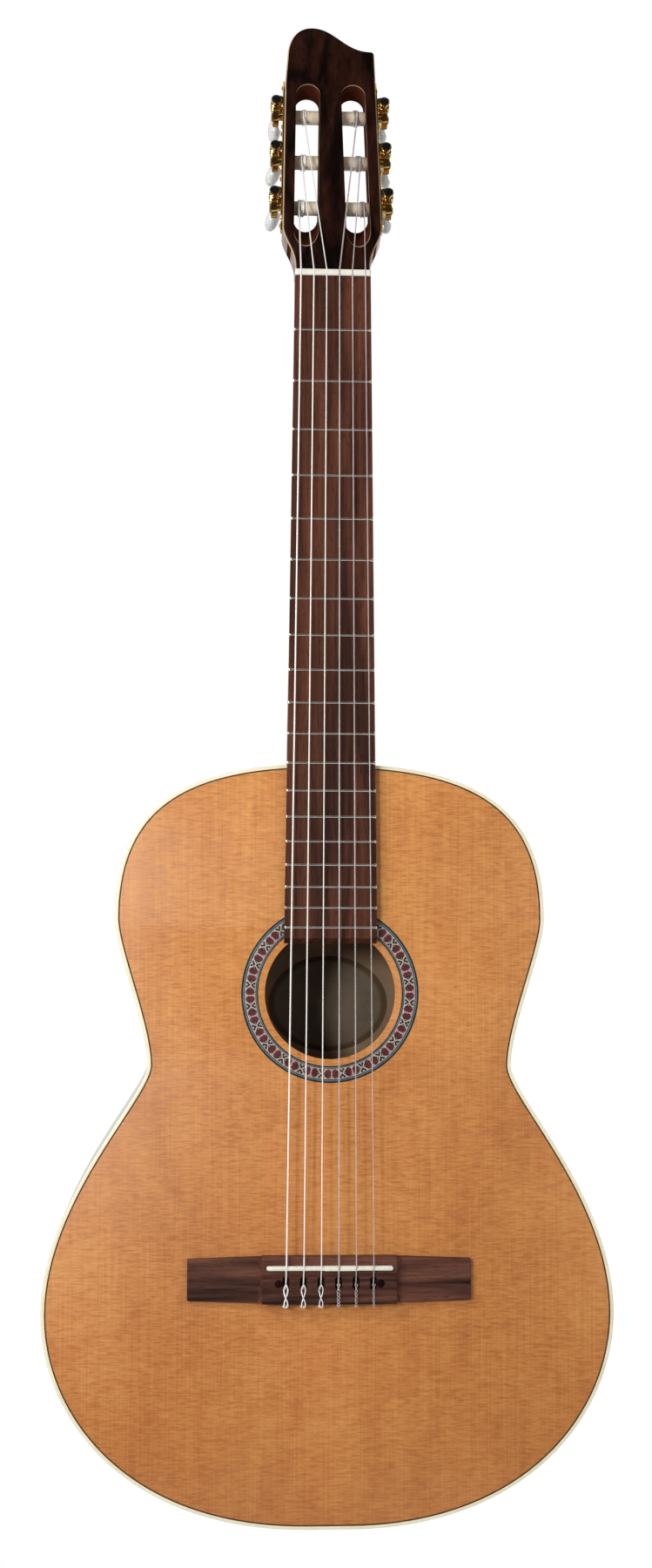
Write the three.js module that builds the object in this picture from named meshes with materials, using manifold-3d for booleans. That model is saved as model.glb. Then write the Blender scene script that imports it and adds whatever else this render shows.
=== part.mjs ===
// Classical guitar: a hollow wooden body, a neck with a slotted head, six strings, and six
// tuners whose worms turn the rollers that wind the strings up.
// Millimetres. +Z runs along the neck to the head, the soundboard faces -Y and +X is the
// treble side. The origin is the middle of the body's tail.

import * as THREE from 'three';
import { mergeVertices } from 'three/addons/utils/BufferGeometryUtils.js';
import Module from 'manifold-3d';

const wasm = await Module();
wasm.setup();

// ---------- driving dimensions ----------

const SCALE_LENGTH = 652;        // vibrating length that the frets are worked out from
const COMPENSATION = 4;          // how far the saddle stands beyond that length
const FRETS = 19;
const GAP = 0.3;                 // clearance between neighbouring pieces

const BODY_LENGTH = 500;
const TAIL_DEPTH = 98;           // front to back at the tail
const HEEL_DEPTH = 92;           // front to back at the neck
const TAIL_FLAT = 14;            // half width of the flat at the tail
const LOWER_BOUT = { half: 188, z: 139.5 };
const WAIST = { half: 119.8, z: 301 };
const UPPER_BOUT = { half: 142, z: 397.5 };
const TAIL_HANDLES = [133, 65];
const LOWER_HANDLES = [75, 20];
const UPPER_HANDLES = [25.7, 20];
const NECK_HANDLES = [78, 92];

const TOP_THICK = 2.5;
const BACK_THICK = 2.8;
const RIB_THICK = 2.2;
const BINDING_WIDE = 2.2;
const BINDING_DEEP = 6;
const HOLE_RADIUS = 43;
const HOLE_FROM_NUT = 478;
const ROSETTE_RADII = [47.5, 58.6];
const ROSETTE_THICK = 1;

const NUT_WIDTH = 50.6;
const NUT_THICK = 4.9;
const BOARD_END = 441.5;         // from the nut to the end of the fingerboard
const BOARD_END_WIDTH = 61;
const BOARD_SLOPE = 3.5;         // how much further its back goes than its front, at that end
const BOARD_THICK = 5.8;
const FRET_HIGH = 1;
const FRET_WIDE = 2.2;
const FRET_INSET = 0.4;          // how far a fret's ends stand in from the board's edges
const FRET_SUNK = 0.3;

const HEAD_ANGLE = THREE.MathUtils.degToRad(14);
const HEAD_DROP = 4;             // from the soundboard's plane forward to the head's face
const VENEER_THICK = 2.5;
const HEAD_THICK = 20.8;
const SLOT_HALF = 8.2;           // half width of a string slot, whose ends are round
const SLOT_MIDDLE = 15.25;       // from the head's middle to the slot's, at the slot's top
const SLOT_TOP = 142;
const SLOT_FOOT = 16;            // where the slot's ramp meets the head's face
const SLOT_FOOT_BACK = 39;       // where the same ramp meets the head's back
const SIDE_FOOT = { half: 33.5, v: 31 };
const SIDE_TOP = { half: 31.1, v: 142 };

const ROLLER_FIRST = 51;         // height of the lowest roller on the head
const ROLLER_PITCH = 35.1;
const ROLLER_DEEP = 10.4;        // behind the head's face
const ROLLER_RADIUS = 4.8;
const SHAFT_RADIUS = 2.5;
const GEAR_TEETH = 14;
const GEAR_MODULE = 0.85;
const GEAR_WIDE = 4;
const WORM_PITCH_RADIUS = 3.05;
const GEAR_OUT = 5.7;            // gear's mid plane, out from the side of the head
const PLATE_THICK = 1.2;
const PLATE_WIDE = 15;
const BUTTON_SIZE = { wide: 18, thick: 9, long: 15 };
const BUTTON_DEEP = 40;            // middle of the button, behind the head's face
const BUTTON_TURNS = [78, 70, 86, 96, 114, 110];   // degrees, strings 1 to 6

const STRINGS = 6;
const STRING_SPREAD_NUT = 43;
const STRING_SPREAD_SADDLE = 57;
const STRING_HIGH_NUT = 8.25;    // above the soundboard's plane
const STRING_HIGH_SADDLE = 12.5;
const STRING_DIAMETERS = [0.71, 0.82, 1.03, 0.76, 0.91, 1.09];
const WINDING_X = [22.2, 20.2, 18.5];

const BRIDGE = { half: 93, blockHalf: 44, blockHigh: 8.2, wingHigh: 3.8 };
const SADDLE = { half: 41.5, thick: 3, high: 11.4, deep: 3.6 };

// ---------- worked-out places ----------

const FRONT_Y = -TAIL_DEPTH / 2;
const TAIL_BACK_Y = TAIL_DEPTH / 2;
const BACK_SLOPE = Math.atan((TAIL_DEPTH - HEEL_DEPTH) / BODY_LENGTH);
const NUT_Z = BODY_LENGTH + SCALE_LENGTH / 2;
const SADDLE_Z = NUT_Z - SCALE_LENGTH - COMPENSATION;
const HOLE_Z = NUT_Z - HOLE_FROM_NUT;
const BOARD_FRONT_Y = FRONT_Y - GAP - BOARD_THICK;
const HEAD_Z = NUT_Z + NUT_THICK + GAP;
const UNDER_TOP_Y = FRONT_Y + TOP_THICK + GAP;
const SIDE_LEAN = Math.atan2(SIDE_FOOT.half - SIDE_TOP.half, SIDE_TOP.v - SIDE_FOOT.v);
const FAR = 1500;                // longer than anything here, for cutting boxes

// ---------- shared helpers ----------

// How far a string is from the middle, where the outer strings are a spread apart.
function stringX(number, spread) {
  return ((STRINGS + 1) / 2 - number) / (STRINGS - 1) * spread;
}

// A closed three.js geometry as a manifold solid.
function solid(geometry) {
  const bare = geometry.clone();
  bare.deleteAttribute('normal');
  bare.deleteAttribute('uv');
  const merged = mergeVertices(bare, 1e-4);
  const vertProperties = new Float32Array(merged.getAttribute('position').array);
  const triVerts = new Uint32Array(merged.getIndex().array);
  return new wasm.Manifold(new wasm.Mesh({ numProp: 3, vertProperties, triVerts }));
}

// A manifold solid as a three.js geometry.
function geometryOf(body) {
  const mesh = body.getMesh();
  const geometry = new THREE.BufferGeometry();
  geometry.setAttribute('position', new THREE.BufferAttribute(mesh.vertProperties, 3));
  geometry.setIndex(new THREE.BufferAttribute(mesh.triVerts, 1));
  return geometry;
}

// A flat shape drawn in X and Z, given thickness from y = front to y = back.
function plate(shape, front, back, curveSegments = 24) {
  const options = { depth: back - front, bevelEnabled: false, curveSegments };
  const geometry = new THREE.ExtrudeGeometry(shape, options);
  geometry.rotateX(Math.PI / 2);
  geometry.translate(0, back, 0);
  return geometry;
}

// A box between two corners.
function box(low, high) {
  const size = high.map((value, i) => value - low[i]);
  const geometry = new THREE.BoxGeometry(...size);
  geometry.translate(...low.map((value, i) => value + size[i] / 2));
  return geometry;
}

// A closed skin over a row of rings that all have the same number of points.
function loft(rings) {
  const count = rings[0].length;
  const positions = rings.flat().flatMap((point) => [point.x, point.y, point.z]);
  const index = [];
  for (let ring = 0; ring + 1 < rings.length; ring += 1) {
    for (let i = 0; i < count; i += 1) {
      const a = ring * count + i;
      const b = ring * count + ((i + 1) % count);
      index.push(a, b, a + count, b, b + count, a + count);
    }
  }
  const last = (rings.length - 1) * count;
  for (let i = 1; i + 1 < count; i += 1) {
    index.push(0, i + 1, i);
    index.push(last, last + i, last + i + 1);
  }
  const geometry = new THREE.BufferGeometry();
  geometry.setAttribute('position', new THREE.Float32BufferAttribute(positions, 3));
  geometry.setIndex(index);
  return geometry;
}

// A ring of points round a point, in the plane of two unit vectors.
function ringOf(centre, along, across, radius, sides) {
  const ring = [];
  for (let i = 0; i < sides; i += 1) {
    const angle = (i / sides) * Math.PI * 2;
    const point = centre.clone();
    point.addScaledVector(along, radius * Math.cos(angle));
    point.addScaledVector(across, radius * Math.sin(angle));
    ring.push(point);
  }
  return ring;
}

// A round rod with its axis along X, from a profile of [radius, x] pairs.
function turned(profile, sides) {
  const points = profile.map(([radius, x]) => new THREE.Vector2(radius, x));
  const geometry = new THREE.LatheGeometry(points, sides);
  geometry.rotateZ(-Math.PI / 2);
  return geometry;
}

// A shape extruded along Z, turned so that its X, Y and Z become Y, Z and X.
function turnedToX(geometry) {
  const axes = [[0, 1, 0], [0, 0, 1], [1, 0, 0]].map((row) => new THREE.Vector3(...row));
  return geometry.applyMatrix4(new THREE.Matrix4().makeBasis(...axes));
}

function bezier(...numbers) {
  const points = [];
  for (let i = 0; i < numbers.length; i += 2) {
    points.push(new THREE.Vector2(numbers[i], numbers[i + 1]));
  }
  return new THREE.CubicBezierCurve(...points);
}

// ---------- materials ----------

function material(color, roughness, metalness = 0) {
  return new THREE.MeshStandardMaterial({ color, roughness, metalness });
}

const cedar = material('#c98a54', 0.35);
const rosewood = material('#4a2a22', 0.35);
const ebony = material('#3a221c', 0.45);
const mahogany = material('#6b3a26', 0.4);
const spruce = material('#d9b98a', 0.7);
const cream = material('#f4ead0', 0.4);
const mosaic = material('#6d5a5c', 0.4);
const bone = material('#e8e4d6', 0.35);
const rollerBone = material('#dccba8', 0.4);
const gold = material('#c8973a', 0.3, 1);
const brass = material('#b98a35', 0.35, 1);
const pearl = material('#e2e4e6', 0.2);
const nylon = material('#e4e2ea', 0.2);
const woundNylon = material('#cfcac0', 0.35, 0.6);

const guitar = new THREE.Group();

function addMesh(parent, name, shape, look) {
  const mesh = new THREE.Mesh(shape.isBufferGeometry ? shape : geometryOf(shape), look);
  mesh.name = name;
  parent.add(mesh);
  return mesh;
}

// ---------- body outline ----------

// The treble half of the outline, from the tail to the neck.
const halfOutline = [
  [new THREE.LineCurve(new THREE.Vector2(0, 0), new THREE.Vector2(TAIL_FLAT, 0)), 1],
  [bezier(
    TAIL_FLAT, 0, TAIL_HANDLES[0], 0,
    LOWER_BOUT.half, LOWER_BOUT.z - TAIL_HANDLES[1], LOWER_BOUT.half, LOWER_BOUT.z), 11],
  [bezier(
    LOWER_BOUT.half, LOWER_BOUT.z, LOWER_BOUT.half, LOWER_BOUT.z + LOWER_HANDLES[0],
    WAIST.half, WAIST.z - LOWER_HANDLES[1], WAIST.half, WAIST.z), 8],
  [bezier(
    WAIST.half, WAIST.z, WAIST.half, WAIST.z + UPPER_HANDLES[0],
    UPPER_BOUT.half, UPPER_BOUT.z - UPPER_HANDLES[1], UPPER_BOUT.half, UPPER_BOUT.z), 6],
  [bezier(
    UPPER_BOUT.half, UPPER_BOUT.z, UPPER_BOUT.half, UPPER_BOUT.z + NECK_HANDLES[0],
    NECK_HANDLES[1], BODY_LENGTH, 0, BODY_LENGTH), 10],
];

// The whole outline moved inwards by a distance.
function outline(inset) {
  const half = [];
  for (const [curve, steps] of halfOutline) {
    for (let i = 0; i < steps; i += 1) {
      const point = curve.getPoint(i / steps);
      const tangent = curve.getTangent(i / steps);
      half.push(new THREE.Vector2(point.x - tangent.y * inset, point.y + tangent.x * inset));
    }
  }
  half.push(new THREE.Vector2(0, BODY_LENGTH - inset));
  const other = half.slice(1, -1).reverse();
  return half.concat(other.map((point) => new THREE.Vector2(-point.x, point.y)));
}

function outlineShape(inset) {
  return new THREE.Shape(outline(inset));
}

function outlineRing(outer, inner) {
  const shape = outlineShape(outer);
  shape.holes.push(new THREE.Path(outline(inner)));
  return shape;
}

// Everything behind the plane of the back, moved forward or back by an offset.
function behindBack(offset) {
  const geometry = new THREE.BoxGeometry(FAR, FAR, FAR);
  geometry.translate(0, FAR / 2, 0);
  geometry.rotateX(BACK_SLOPE);
  geometry.translate(0, TAIL_BACK_Y + offset, 0);
  return solid(geometry);
}

function circleShape(radius, z, holeRadius = 0) {
  const shape = new THREE.Shape();
  shape.absarc(0, z, radius, 0, Math.PI * 2);
  if (holeRadius) {
    const hole = new THREE.Path();
    hole.absarc(0, z, holeRadius, 0, Math.PI * 2);
    shape.holes.push(hole);
  }
  return shape;
}

// ---------- soundboard, rosette, back, ribs, bindings ----------

function makeSoundboard() {
  const shape = outlineShape(BINDING_WIDE + GAP);
  const hole = new THREE.Path();
  hole.absarc(0, HOLE_Z, HOLE_RADIUS, 0, Math.PI * 2);
  shape.holes.push(hole);
  const board = solid(plate(shape, FRONT_Y, FRONT_Y + TOP_THICK));
  const [inner, outer] = ROSETTE_RADII;
  const channel = circleShape(outer + GAP, HOLE_Z, inner - GAP);
  return board.subtract(solid(plate(channel, FRONT_Y - 1, FRONT_Y + ROSETTE_THICK + GAP)));
}

function makeRosette() {
  const shape = circleShape(ROSETTE_RADII[1], HOLE_Z, ROSETTE_RADII[0]);
  return plate(shape, FRONT_Y, FRONT_Y + ROSETTE_THICK);
}

function makeBack() {
  const blank = solid(plate(outlineShape(BINDING_WIDE + GAP), 0, TAIL_DEPTH));
  return blank.intersect(behindBack(-BACK_THICK)).subtract(behindBack(0));
}

function makeBinding(front) {
  const shape = outlineRing(0, BINDING_WIDE);
  if (front) {
    return plate(shape, FRONT_Y, FRONT_Y + BINDING_DEEP);
  }
  const blank = solid(plate(shape, 0, TAIL_DEPTH));
  return blank.intersect(behindBack(-BINDING_DEEP)).subtract(behindBack(0));
}

const GRAFT_HALF = 10;
const RIB_FRONT_Y = FRONT_Y + BINDING_DEEP + GAP;

function makeRib(side) {
  const blank = solid(plate(outlineRing(0, RIB_THICK), RIB_FRONT_Y, TAIL_DEPTH));
  const clear = GRAFT_HALF + GAP;
  const graft = solid(box([-clear, -FAR, -FAR], [clear, FAR, 3 * RIB_THICK]));
  const middle = side > 0 ? GAP / 2 : -FAR;
  const half = solid(box([middle, -FAR, -FAR], [middle + FAR - GAP / 2, FAR, FAR]));
  return blank.subtract(behindBack(-BINDING_DEEP - GAP)).subtract(graft).intersect(half);
}

function makeTailGraft() {
  const low = [-GRAFT_HALF, RIB_FRONT_Y, 0];
  const blank = solid(box(low, [GRAFT_HALF, TAIL_DEPTH, RIB_THICK]));
  return blank.subtract(behindBack(-BINDING_DEEP - GAP));
}

addMesh(guitar, 'soundboard', makeSoundboard(), cedar);
addMesh(guitar, 'rosette', makeRosette(), mosaic);
addMesh(guitar, 'binding_front', makeBinding(true), cream);
addMesh(guitar, 'binding_back', makeBinding(false), cream);
addMesh(guitar, 'back_plate', makeBack(), rosewood);
addMesh(guitar, 'rib_treble', makeRib(1), rosewood);
addMesh(guitar, 'rib_bass', makeRib(-1), rosewood);
addMesh(guitar, 'tail_graft', makeTailGraft(), cream);

// ---------- blocks, lining and braces inside the body ----------

const LINING = { wide: 5.5, high: 14, shortOfBlock: 9 };
const NECK_BLOCK = { half: 32, z: 465 };
const TAIL_BLOCK = { half: 30, z: 18 };
const LINING_OUT = RIB_THICK + GAP;

function makeLining(grow) {
  const shape = outlineRing(LINING_OUT - grow, LINING_OUT + LINING.wide + grow);
  const ring = plate(shape, UNDER_TOP_Y - grow, UNDER_TOP_Y + LINING.high + grow);
  const half = NECK_BLOCK.half + GAP;
  const low = NECK_BLOCK.z - LINING.shortOfBlock;
  return solid(ring).subtract(solid(box([-half, -FAR, low], [half, FAR, FAR])));
}

function makeBlock(half, lowZ, highZ) {
  const inside = solid(plate(outlineShape(LINING_OUT), UNDER_TOP_Y, TAIL_DEPTH));
  const body = inside.intersect(solid(box([-half, -FAR, lowZ], [half, FAR, highZ])));
  return body.subtract(behindBack(-BACK_THICK - GAP)).subtract(makeLining(GAP));
}

const HARMONIC_BAR = { thick: 6, high: 13, fromHole: 9, lowerHalf: 106, upperHalf: 128 };

function makeHarmonicBar(half, z) {
  const low = [-half, UNDER_TOP_Y, z - HARMONIC_BAR.thick / 2];
  const high = [half, UNDER_TOP_Y + HARMONIC_BAR.high, z + HARMONIC_BAR.thick / 2];
  return box(low, high);
}

const FAN = { count: 5, topZ: 289, footZ: 48, topSpread: 27, footSpread: 50, wide: 5, high: 4.5 };
const FAN_SHORTER = { top: 2, foot: 9 };   // how much each brace further out is shorter

function addFanBraces() {
  for (let i = 0; i < FAN.count; i += 1) {
    const place = i - (FAN.count - 1) / 2;
    const top = new THREE.Vector2(place * FAN.topSpread, FAN.topZ - FAN_SHORTER.top * Math.abs(place));
    const foot = new THREE.Vector2(place * FAN.footSpread, FAN.footZ + FAN_SHORTER.foot * Math.abs(place));
    const brace = new THREE.BoxGeometry(FAN.wide, FAN.high, top.distanceTo(foot));
    const mesh = addMesh(guitar, `fan_brace_${i + 1}`, brace, spruce);
    const middle = top.clone().add(foot).divideScalar(2);
    mesh.position.set(middle.x, UNDER_TOP_Y + FAN.high / 2, middle.y);
    mesh.rotation.y = Math.atan2(top.x - foot.x, top.y - foot.y);
  }
}

const BACK_BRACES = [[100, 165], [235, 139], [398, 129]];   // height and half length of each
const BACK_BRACE = { thick: 7, high: 11 };

// The braces lie on the sloping back, so they share one turned group.
function addBackBraces() {
  const group = new THREE.Group();
  group.position.set(0, TAIL_BACK_Y, 0);
  group.rotation.x = BACK_SLOPE;
  BACK_BRACES.forEach(([z, half], i) => {
    const low = [-half, -BACK_THICK - GAP - BACK_BRACE.high, z - BACK_BRACE.thick / 2];
    const high = [half, -BACK_THICK - GAP, z + BACK_BRACE.thick / 2];
    addMesh(group, `back_brace_${i + 1}`, box(low, high), spruce);
  });
  guitar.add(group);
}

addMesh(guitar, 'lining_front', makeLining(0), spruce);
addMesh(guitar, 'neck_block', makeBlock(NECK_BLOCK.half, NECK_BLOCK.z, BODY_LENGTH), mahogany);
addMesh(guitar, 'tail_block', makeBlock(TAIL_BLOCK.half, 0, TAIL_BLOCK.z), mahogany);
const barReach = HOLE_RADIUS + HARMONIC_BAR.fromHole;
const lowerBar = makeHarmonicBar(HARMONIC_BAR.lowerHalf, HOLE_Z - barReach);
const upperBar = makeHarmonicBar(HARMONIC_BAR.upperHalf, HOLE_Z + barReach);
addMesh(guitar, 'harmonic_bar_lower', lowerBar, spruce);
addMesh(guitar, 'harmonic_bar_upper', upperBar, spruce);
addFanBraces();
addBackBraces();

// ---------- neck and fingerboard ----------

// Half the width of the fingerboard at a distance from the nut.
function boardHalf(fromNut) {
  const spread = (BOARD_END_WIDTH - NUT_WIDTH) / BOARD_END;
  return (NUT_WIDTH + spread * fromNut) / 2;
}

const HEEL = { topZ: 572, steepZ: 514, deep: 100, past: 6 };
const NECK_DEEP = { nut: 15.2, heel: 17.5 };
const HEEL_STEPS = [0, 0.3, 0.5, 0.66, 0.79, 0.89, 0.96, 1];
const NECK_SIDES = 14;

// Depth of the neck behind the fingerboard, at a height.
function neckDeep(z) {
  const run = THREE.MathUtils.mapLinear(z, NUT_Z, HEEL.topZ, NECK_DEEP.nut, NECK_DEEP.heel);
  const steep = Math.min(1, Math.max(0, (HEEL.topZ - z) / (HEEL.topZ - HEEL.steepZ)));
  const bend = 1 - Math.sqrt(1 - steep * steep);
  return Math.min(run, NECK_DEEP.heel) + (HEEL.deep - NECK_DEEP.heel) * bend;
}

function neckSection(z) {
  const half = boardHalf(NUT_Z - z);
  const ring = [];
  for (let i = 0; i <= NECK_SIDES; i += 1) {
    const angle = (i / NECK_SIDES) * Math.PI;
    const y = FRONT_Y + neckDeep(z) * Math.sin(angle);
    ring.push(new THREE.Vector3(half * Math.cos(angle), y, z));
  }
  return ring;
}

function makeNeck() {
  const heights = HEEL_STEPS.map((step) => HEEL.topZ - step * (HEEL.topZ - HEEL.steepZ));
  heights.push(BODY_LENGTH - HEEL.past);
  heights.unshift(NUT_Z, (NUT_Z + HEEL.topZ) / 2);
  const shaft = solid(loft(heights.reverse().map(neckSection)));
  const body = solid(plate(outlineShape(-GAP), -FAR, FAR));
  return shaft.subtract(body).subtract(behindBack(-2 * GAP));
}

function fretFromNut(number) {
  return SCALE_LENGTH * (1 - 2 ** (-number / 12));
}

// The board's four corners at a distance from the nut, its back further away by a slope.
function boardRing(fromNut, slope) {
  const back = [fromNut + slope, FRONT_Y - GAP];
  const front = [fromNut, BOARD_FRONT_Y];
  return [[-1, front], [1, front], [1, back], [-1, back]].map(([side, [distance, y]]) => (
    new THREE.Vector3(side * boardHalf(distance), y, NUT_Z - distance)));
}

function makeFingerboard() {
  let board = solid(loft([boardRing(BOARD_END, BOARD_SLOPE), boardRing(GAP, 0)]));
  for (let number = 1; number <= FRETS; number += 1) {
    const length = 2 * (boardHalf(fretFromNut(number)) - FRET_INSET);
    const fret = new THREE.CylinderGeometry(1, 1, length, 8);
    fret.rotateZ(Math.PI / 2);
    fret.scale(1, FRET_HIGH + FRET_SUNK, FRET_WIDE / 2);
    fret.translate(0, BOARD_FRONT_Y + FRET_SUNK, NUT_Z - fretFromNut(number));
    board = board.add(solid(fret));
  }
  return board;
}

function makeNut() {
  const half = NUT_WIDTH / 2 - GAP;
  const top = FRONT_Y - STRING_HIGH_NUT + STRING_DIAMETERS[5] / 2 + GAP;
  return box([-half, top, NUT_Z], [half, FRONT_Y - GAP, NUT_Z + NUT_THICK]);
}

addMesh(guitar, 'neck', makeNeck(), mahogany);
addMesh(guitar, 'fingerboard', makeFingerboard(), ebony);
addMesh(guitar, 'nut', makeNut(), bone);

// ---------- bridge and saddle ----------

const BRIDGE_Z = { top: SADDLE_Z + 7.4, foot: SADDLE_Z - 23.7 };
const WING_STEP = { inner: 0.4, outer: 2 };   // how far the wings stand in from the block's edges
const WING_CORNER = 0.8;
const TIE_SLOT = { half: 2.1, top: SADDLE_Z - 5.5, foot: SADDLE_Z - 14.3, floor: 3 };

// The wings' outline, which narrows from the block to their ends.
function bridgeOutline() {
  const { inner, outer } = WING_STEP;
  const [low, high] = [BRIDGE_Z.foot, BRIDGE_Z.top];
  const end = BRIDGE.half;
  const upper = [
    [end, high - outer - WING_CORNER], [end - WING_CORNER, high - outer],
    [BRIDGE.blockHalf, high - inner],
  ];
  const lower = [
    [BRIDGE.blockHalf, low + inner], [end - WING_CORNER, low + outer],
    [end, low + outer + WING_CORNER],
  ];
  const mirrored = (corners) => corners.map(([x, z]) => [-x, z]).reverse();
  const corners = [...upper, ...mirrored(upper), ...mirrored(lower), ...lower];
  return new THREE.Shape(corners.map(([x, z]) => new THREE.Vector2(x, z)));
}

// The slot in the block that one string goes down into, to be tied below it.
function tieSlot(x) {
  const floor = FRONT_Y - GAP - TIE_SLOT.floor;
  const low = [x - TIE_SLOT.half, -FAR, TIE_SLOT.foot];
  return solid(box(low, [x + TIE_SLOT.half, floor, TIE_SLOT.top]));
}

function makeBridge() {
  const foot = FRONT_Y - GAP;
  const wings = solid(plate(bridgeOutline(), foot - BRIDGE.wingHigh, foot));
  const half = BRIDGE.blockHalf;
  const top = foot - BRIDGE.blockHigh;
  const block = solid(box([-half, top, BRIDGE_Z.foot], [half, foot, BRIDGE_Z.top]));
  const slotHalf = SADDLE.half + GAP;
  const slotWide = SADDLE.thick / 2 + GAP;
  const slotFloor = foot - SADDLE.deep + GAP;
  const slotLow = [-slotHalf, -FAR, SADDLE_Z - slotWide];
  const slot = solid(box(slotLow, [slotHalf, slotFloor, SADDLE_Z + slotWide]));
  let bridge = wings.add(block).subtract(slot);
  for (let number = 1; number <= STRINGS; number += 1) {
    bridge = bridge.subtract(tieSlot(stringX(number, STRING_SPREAD_SADDLE)));
  }
  return bridge;
}

function makeSaddle() {
  const low = [-SADDLE.half, FRONT_Y - SADDLE.high, SADDLE_Z - SADDLE.thick / 2];
  return box(low, [SADDLE.half, FRONT_Y - GAP - SADDLE.deep, SADDLE_Z + SADDLE.thick / 2]);
}

addMesh(guitar, 'bridge', makeBridge(), rosewood);
addMesh(guitar, 'saddle', makeSaddle(), bone);

// ---------- head ----------

// In the head's own frame, y = 0 is the face, +y goes to its back, and z climbs the head.
const head = new THREE.Group();
head.position.set(0, FRONT_Y - HEAD_DROP, HEAD_Z);
head.rotation.x = -HEAD_ANGLE;
head.updateMatrixWorld(true);
guitar.add(head);

// The head's outline: [half width or x, height] of its neck end, curve handles and top edge.
const HEAD_FOOT_V = -12;
const FLARE_V = 4;               // where the head starts to widen above the nut
const FLARE_HANDLES = [[1, 16], [-1, 22]];
const CORNER = { x: 30.4, v: 165.7, cut: 1.3, rise: 2.7 };
const CREST = { x: -12.4, v: 186.3, fromCorner: 10, before: 4, after: -22 };
const SHOULDER = { x: -29.2, v: 166, handle: [-28, 178] };

function headOutline() {
  const neckHalf = NUT_WIDTH / 2 - 0.2;
  const [near, far] = FLARE_HANDLES;
  const cornerTop = CORNER.v + CORNER.rise;
  const shape = new THREE.Shape();
  shape.moveTo(-neckHalf, HEAD_FOOT_V);
  shape.lineTo(neckHalf, HEAD_FOOT_V);
  shape.lineTo(neckHalf, FLARE_V);
  shape.bezierCurveTo(
    neckHalf + near[0], near[1], SIDE_FOOT.half + far[0], far[1], SIDE_FOOT.half, SIDE_FOOT.v);
  shape.lineTo(SIDE_TOP.half, SIDE_TOP.v);
  shape.lineTo(CORNER.x, CORNER.v);
  shape.lineTo(CORNER.x - CORNER.cut, cornerTop);
  shape.bezierCurveTo(CREST.fromCorner, cornerTop, CREST.before, CREST.v, CREST.x, CREST.v);
  shape.bezierCurveTo(CREST.after, CREST.v, ...SHOULDER.handle, SHOULDER.x, SHOULDER.v);
  shape.lineTo(-SIDE_TOP.half, SIDE_TOP.v);
  shape.lineTo(-SIDE_FOOT.half, SIDE_FOOT.v);
  shape.bezierCurveTo(
    -SIDE_FOOT.half - far[0], far[1], -neckHalf - near[0], near[1], -neckHalf, FLARE_V);
  return shape;
}

// The middle of a slot leans outwards down the head, as the head's sides do.
function slotMiddle(v) {
  return SLOT_MIDDLE + (SLOT_TOP - v) * Math.tan(SIDE_LEAN);
}

// An outline as wide as a slot, with round ends.
function slotShape(low, high) {
  const shape = new THREE.Shape();
  shape.absarc(0, high - SLOT_HALF, SLOT_HALF, 0, Math.PI);
  shape.absarc(0, low + SLOT_HALF, SLOT_HALF, Math.PI, 2 * Math.PI);
  return shape;
}

const CUT_PAST = 2;              // how far a slot's cutter reaches past the head's two faces
const RAMP_REACH = 35;           // half the length of the cutter that makes a slot's ramp
const RAMP_HIGH = 50;

// One string slot: round at both ends, with a round-bottomed ramp up to the face at its foot.
function slotCutter(side) {
  const upright = slotShape(SLOT_FOOT_BACK - SLOT_TOP, 0);
  const through = plate(upright, -CUT_PAST, HEAD_THICK + CUT_PAST, 5);
  const ramp = plate(slotShape(0, RAMP_HIGH), -RAMP_REACH, RAMP_REACH, 5);
  ramp.rotateX(Math.atan2(SLOT_FOOT_BACK - SLOT_FOOT, HEAD_THICK));
  ramp.translate(0, 0, SLOT_FOOT - SLOT_TOP);
  const cutter = solid(through).add(solid(ramp));
  const lean = -THREE.MathUtils.radToDeg(SIDE_LEAN) * side;
  return cutter.rotate([0, lean, 0]).translate([side * SLOT_MIDDLE, 0, SLOT_TOP]);
}

// A box in the guitar's frame, brought into the head's frame.
function boxInHead(low, high) {
  const geometry = box(low, high);
  geometry.applyMatrix4(head.matrixWorld.clone().invert());
  return solid(geometry);
}

const PIN_RADIUS = 2.4;
const WALL_SPAN = 50;            // beyond the side of the head, for holes through its wall
const PIN_INNER = 3.6;           // how near the head's middle a roller's inner pin reaches

// The holes for one roller: a wide one through the side wall, a small one in the middle.
function rollerBore(side, v) {
  const middle = slotMiddle(v);
  const wide = ROLLER_RADIUS + 2 * GAP;
  const profile = [
    [0, PIN_INNER - GAP], [PIN_RADIUS + GAP, PIN_INNER - GAP], [PIN_RADIUS + GAP, middle],
    [wide, middle], [wide, WALL_SPAN], [0, WALL_SPAN],
  ];
  const bore = turned(profile, 14);
  if (side < 0) {
    bore.rotateZ(Math.PI);
  }
  bore.translate(0, ROLLER_DEEP, v);
  return solid(bore);
}

function withSlots(blank) {
  const nutSeat = boxInHead([-50, -100, NUT_Z - 50], [50, FRONT_Y, HEAD_Z]);
  return blank.subtract(slotCutter(1)).subtract(slotCutter(-1)).subtract(nutSeat);
}

function makeHeadCore() {
  const blank = solid(plate(headOutline(), VENEER_THICK + GAP, HEAD_THICK, 6));
  const neckEnd = boxInHead([-50, -100, NUT_Z - 50], [50, 50, NUT_Z + GAP]);
  let core = withSlots(blank).subtract(neckEnd);
  for (const { side, v } of tuners()) {
    core = core.subtract(rollerBore(side, v));
  }
  return core;
}

// String number, side of the head, height on the head and place along the roller.
function tuners() {
  const list = [];
  for (let number = 1; number <= STRINGS; number += 1) {
    const side = number <= STRINGS / 2 ? 1 : -1;
    const step = side > 0 ? number - 1 : STRINGS - number;
    list.push({ number, side, v: ROLLER_FIRST + step * ROLLER_PITCH, windingX: WINDING_X[step] });
  }
  return list;
}

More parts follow.
